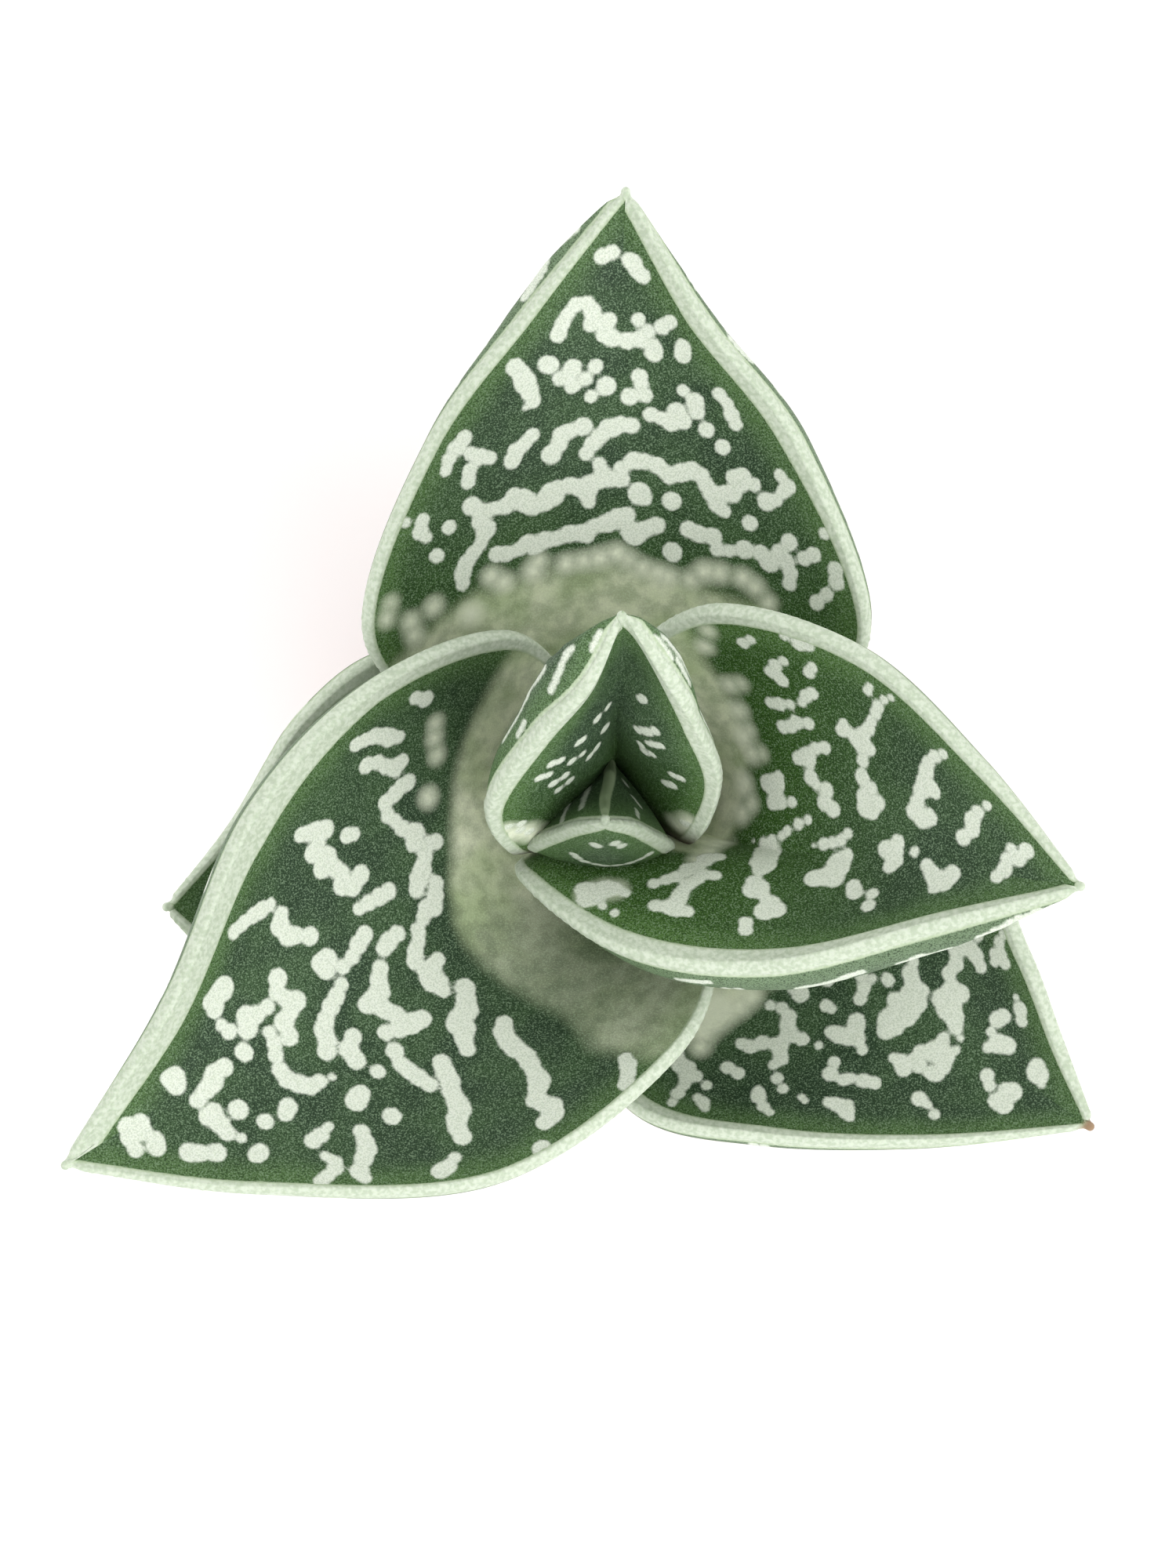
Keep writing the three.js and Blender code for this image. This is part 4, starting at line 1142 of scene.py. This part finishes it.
# Its base is darkened brownish up to a tenth of its length, a painted shade in the heart of the
# rosette
fit(
    leaf_skin(
        "front_right_leaf", front_right, front_right_spots, front_right_haze,
        basin=[
            (-100, 36), (-85, 35), (-60, 36.5), (-41, 37.5), (-28, 34.5), (-10, 34), (0, 33),
            (10, 35), (20, 36.5), (30, 38), (36, 34), (45, 30), (100, 15),
        ],
        fresh_to=0.78, seed=15, spot_size=1, base_shade_to=0.1,
    ),
    skin, "leaf", "leaf_front_right",
)


# Inner leaf
# An upright young leaf that stands in front of the back leaf and folds round the bud leaf.

inner = Leaf(
    rows=[
        [[-7, -3, 67], [0, 1.5, 62], [6, -3, 67]],
        [[-10, -3.5, 77], [0, 4.5, 70], [8, -2, 77]],
        [[-11.8, 0.5, 86], [0, 7, 77], [9.6, 3, 86]],
        [[-7.4, 6.7, 93], [0, 10, 85], [7.4, 8, 93]],
        [[-2.4, 11.6, 98], [0.5, 14, 93], [4.4, 12.5, 98]],
        [[0.5, 18, 102], [0.5, 18, 102], [1, 18, 102]],
    ],
    depth=[5, 5.5, 5.3, 4.8, 3.6, 0.7],
    left_swell=[0, -0.3, -0.2, 1.5, 3.3, 3],
    right_swell=[0, -0.3, -0.3, 0.2, 1.1, 1.4],
    left_elbow=([0.25, 0.25, 0.25, 0.25, 0.35, 0.45], [0.5, 0.5, 0.45, 0.4, 0.25, 0]),
    right_elbow=([0.25, 0.25, 0.25, 0.25, 0.35, 0.45], [0.5, 0.5, 0.45, 0.4, 0.25, 0]),
    bands=(1.5, [2, 2, 2, 1.8, 1.5, 1.4]),
)
inner_spots = [
    [(71, 34), (71.5, 38)], [(65.3, -33), (66.5, -18)], [(58, -19), (57.3, -13)],
    [(60.5, -50), (60, -55)], [(55.3, -68), (54.6, -74)], [(54, -55), (55, -45)],
    [(51.2, -72), (50.6, -79)], [(49.8, -56), (48, -64)], [(53.5, -26), (51.8, -33)],
    [(47, -50), (45, -58)], [(59.5, 30), (60, 42), (61.5, 54)], [(53.4, 33), (55.5, 43)],
    [(56, 50), (56.3, 58)], [(51, 35), (51.4, 42)], [(44.2, 61), (43.8, 67)],
    [(39.6, 53), (39.8, 59)], [(34, -90), (34.5, -82)], [(31.5, -84), (30, -78)],
    [(24.5, 78), (24, 86)],
]
inner_haze = [[(33, -92), (31, -84), (28, -76)], [(24, 86), (21, 76)]]
inner_streaks = [
    [(96, -92), (91, -96)], [(90, -80), (82, -88), (74, -92)], [(80, -73), (72, -74), (65, -74)],
    [(66, -78), (50, -82)], [(48, -76), (43, -76)], [(92, 94), (84, 94)], [(82, 90), (72, 92)],
    [(58, 92), (46, 93)], [(90, 80), (78, 81), (66, 82)], [(60, -92), (56, -94)],
    [(40, -78), (30, -80)], [(86, -30), (76, -26)], [(84, 12), (70, 16)], [(72, -50), (58, -54)],
    [(66, 46), (52, 50)], [(54, -20), (40, -24)], [(46, 24), (32, 28)], [(40, 70), (30, 72)],
    [(36, -48), (24, -50)],
]
# Its base is darkened brownish over about a fifth of its length, a painted shade in the heart of
# the rosette
fit(
    leaf_skin(
        "inner_leaf", inner, inner_spots, inner_haze,
        basin=[(-100, 16), (100, 16)], fresh_to=0.62, seed=16, spot_size=0.62,
        streaks=inner_streaks, dusty=0.1, base_shade_to=0.22,
    ),
    skin, "leaf", "leaf_inner",
)


# Bud leaf
# The youngest leaf, a small keeled tongue that has just come out of the heart of the rosette. Its
# pale keel is as broad as its margins.

bud = Leaf(
    rows=[
        [[-5.5, -3, 65], [-0.5, -4, 65], [4, -3, 66]],
        [[-8, -3, 71.5], [-0.5, -5, 70.5], [5.5, -3, 71.5]],
        [[-8.5, -3, 76], [-0.5, -5, 75.5], [5.5, -3, 76]],
        [[-6.5, -2, 80.5], [-0.5, -4, 80.5], [4, -2, 80.5]],
        [[-4, -1, 85], [-1, -2.5, 84.5], [2, -1, 85]],
        [[-1, -0.5, 88], [-1, -0.5, 88], [-1, -0.5, 88]],
    ],
    depth=[5.5, 8.5, 10.5, 8.5, 5, 1],
    left_swell=[-1, -1, -1, -0.7, -0.3, 0],
    right_swell=[-0.8, -0.8, -0.8, -0.5, -0.3, 0],
    bands=(1.2, 1.2),
    flare=(0.33, 0.28),
    thin=0.6,
    keel_band=1.5,
)
bud_spots = [
    [(76.5, -30), (75, -22)], [(77, 30), (74.5, 48), (72, 36)],
    [(56, -58), (50, -40), (46, -10), (46, 28), (49, 68)],
]
bud_streaks = [
    [(50, -48), (58, -68), (66, -93)], [(58, -34), (67, -50), (74, -66)], [(47, -33), (49, -31)],
    [(58, 50), (57, 66)], [(49, 26), (51, 33)], [(66, 70), (70, 84)], [(40, -60), (32, -66)],
]
# The bud leaf is darkened all over, a painted shade where it stands deep in the inner leaf's fold
fit(
    leaf_skin(
        "bud_leaf", bud, bud_spots, [], basin=[(-100, 10), (100, 10)], fresh_to=0.6, seed=17,
        spot_size=0.6, streaks=bud_streaks, dusty=0, shade=0.3,
    ),
    skin, "leaf", "leaf_bud",
)


# Floor, light and camera
# A plain pale floor under the pot, soft light from the front right and all round, and a camera
# that looks straight down on the plant.

FLOOR_HALF = 4000
floor_corners = [(-1, -1, 0), (1, -1, 0), (1, 1, 0), (-1, 1, 0)]
floor = build("floor", np.array(floor_corners) * FLOOR_HALF, [range(4)])
ground = Finish("pale floor")
ground.surface({"Base Color": linear(250, 250, 250), "Roughness": 0.9})
floor.data.materials.append(ground.material)

world = bpy.data.worlds.new("pale room")
world.use_nodes = True
background = world.node_tree.nodes["Background"]
background.inputs["Color"].default_value = linear(255, 255, 255)
background.inputs["Strength"].default_value = 1.25
bpy.context.scene.world = world
bpy.context.scene.view_settings.view_transform = "Standard"

glow = bpy.data.lights.new("wide light", "SUN")
glow.energy = 1.15
glow.angle = math.radians(50)
lamp = bpy.data.objects.new("wide light", glow)
lamp.location = (0.28, -0.3, 0.5)
lamp.rotation_euler = (Vector((0, 0, 0.075)) - lamp.location).to_track_quat("-Z", "Y").to_euler()
bpy.context.scene.collection.objects.link(lamp)

lens = bpy.data.cameras.new("camera")
lens.lens = 124.8
lens.sensor_width = 36
camera = bpy.data.objects.new("camera", lens)
camera.location = (-0.0026, 0.003, 0.595)
bpy.context.scene.collection.objects.link(camera)
bpy.context.scene.camera = camera
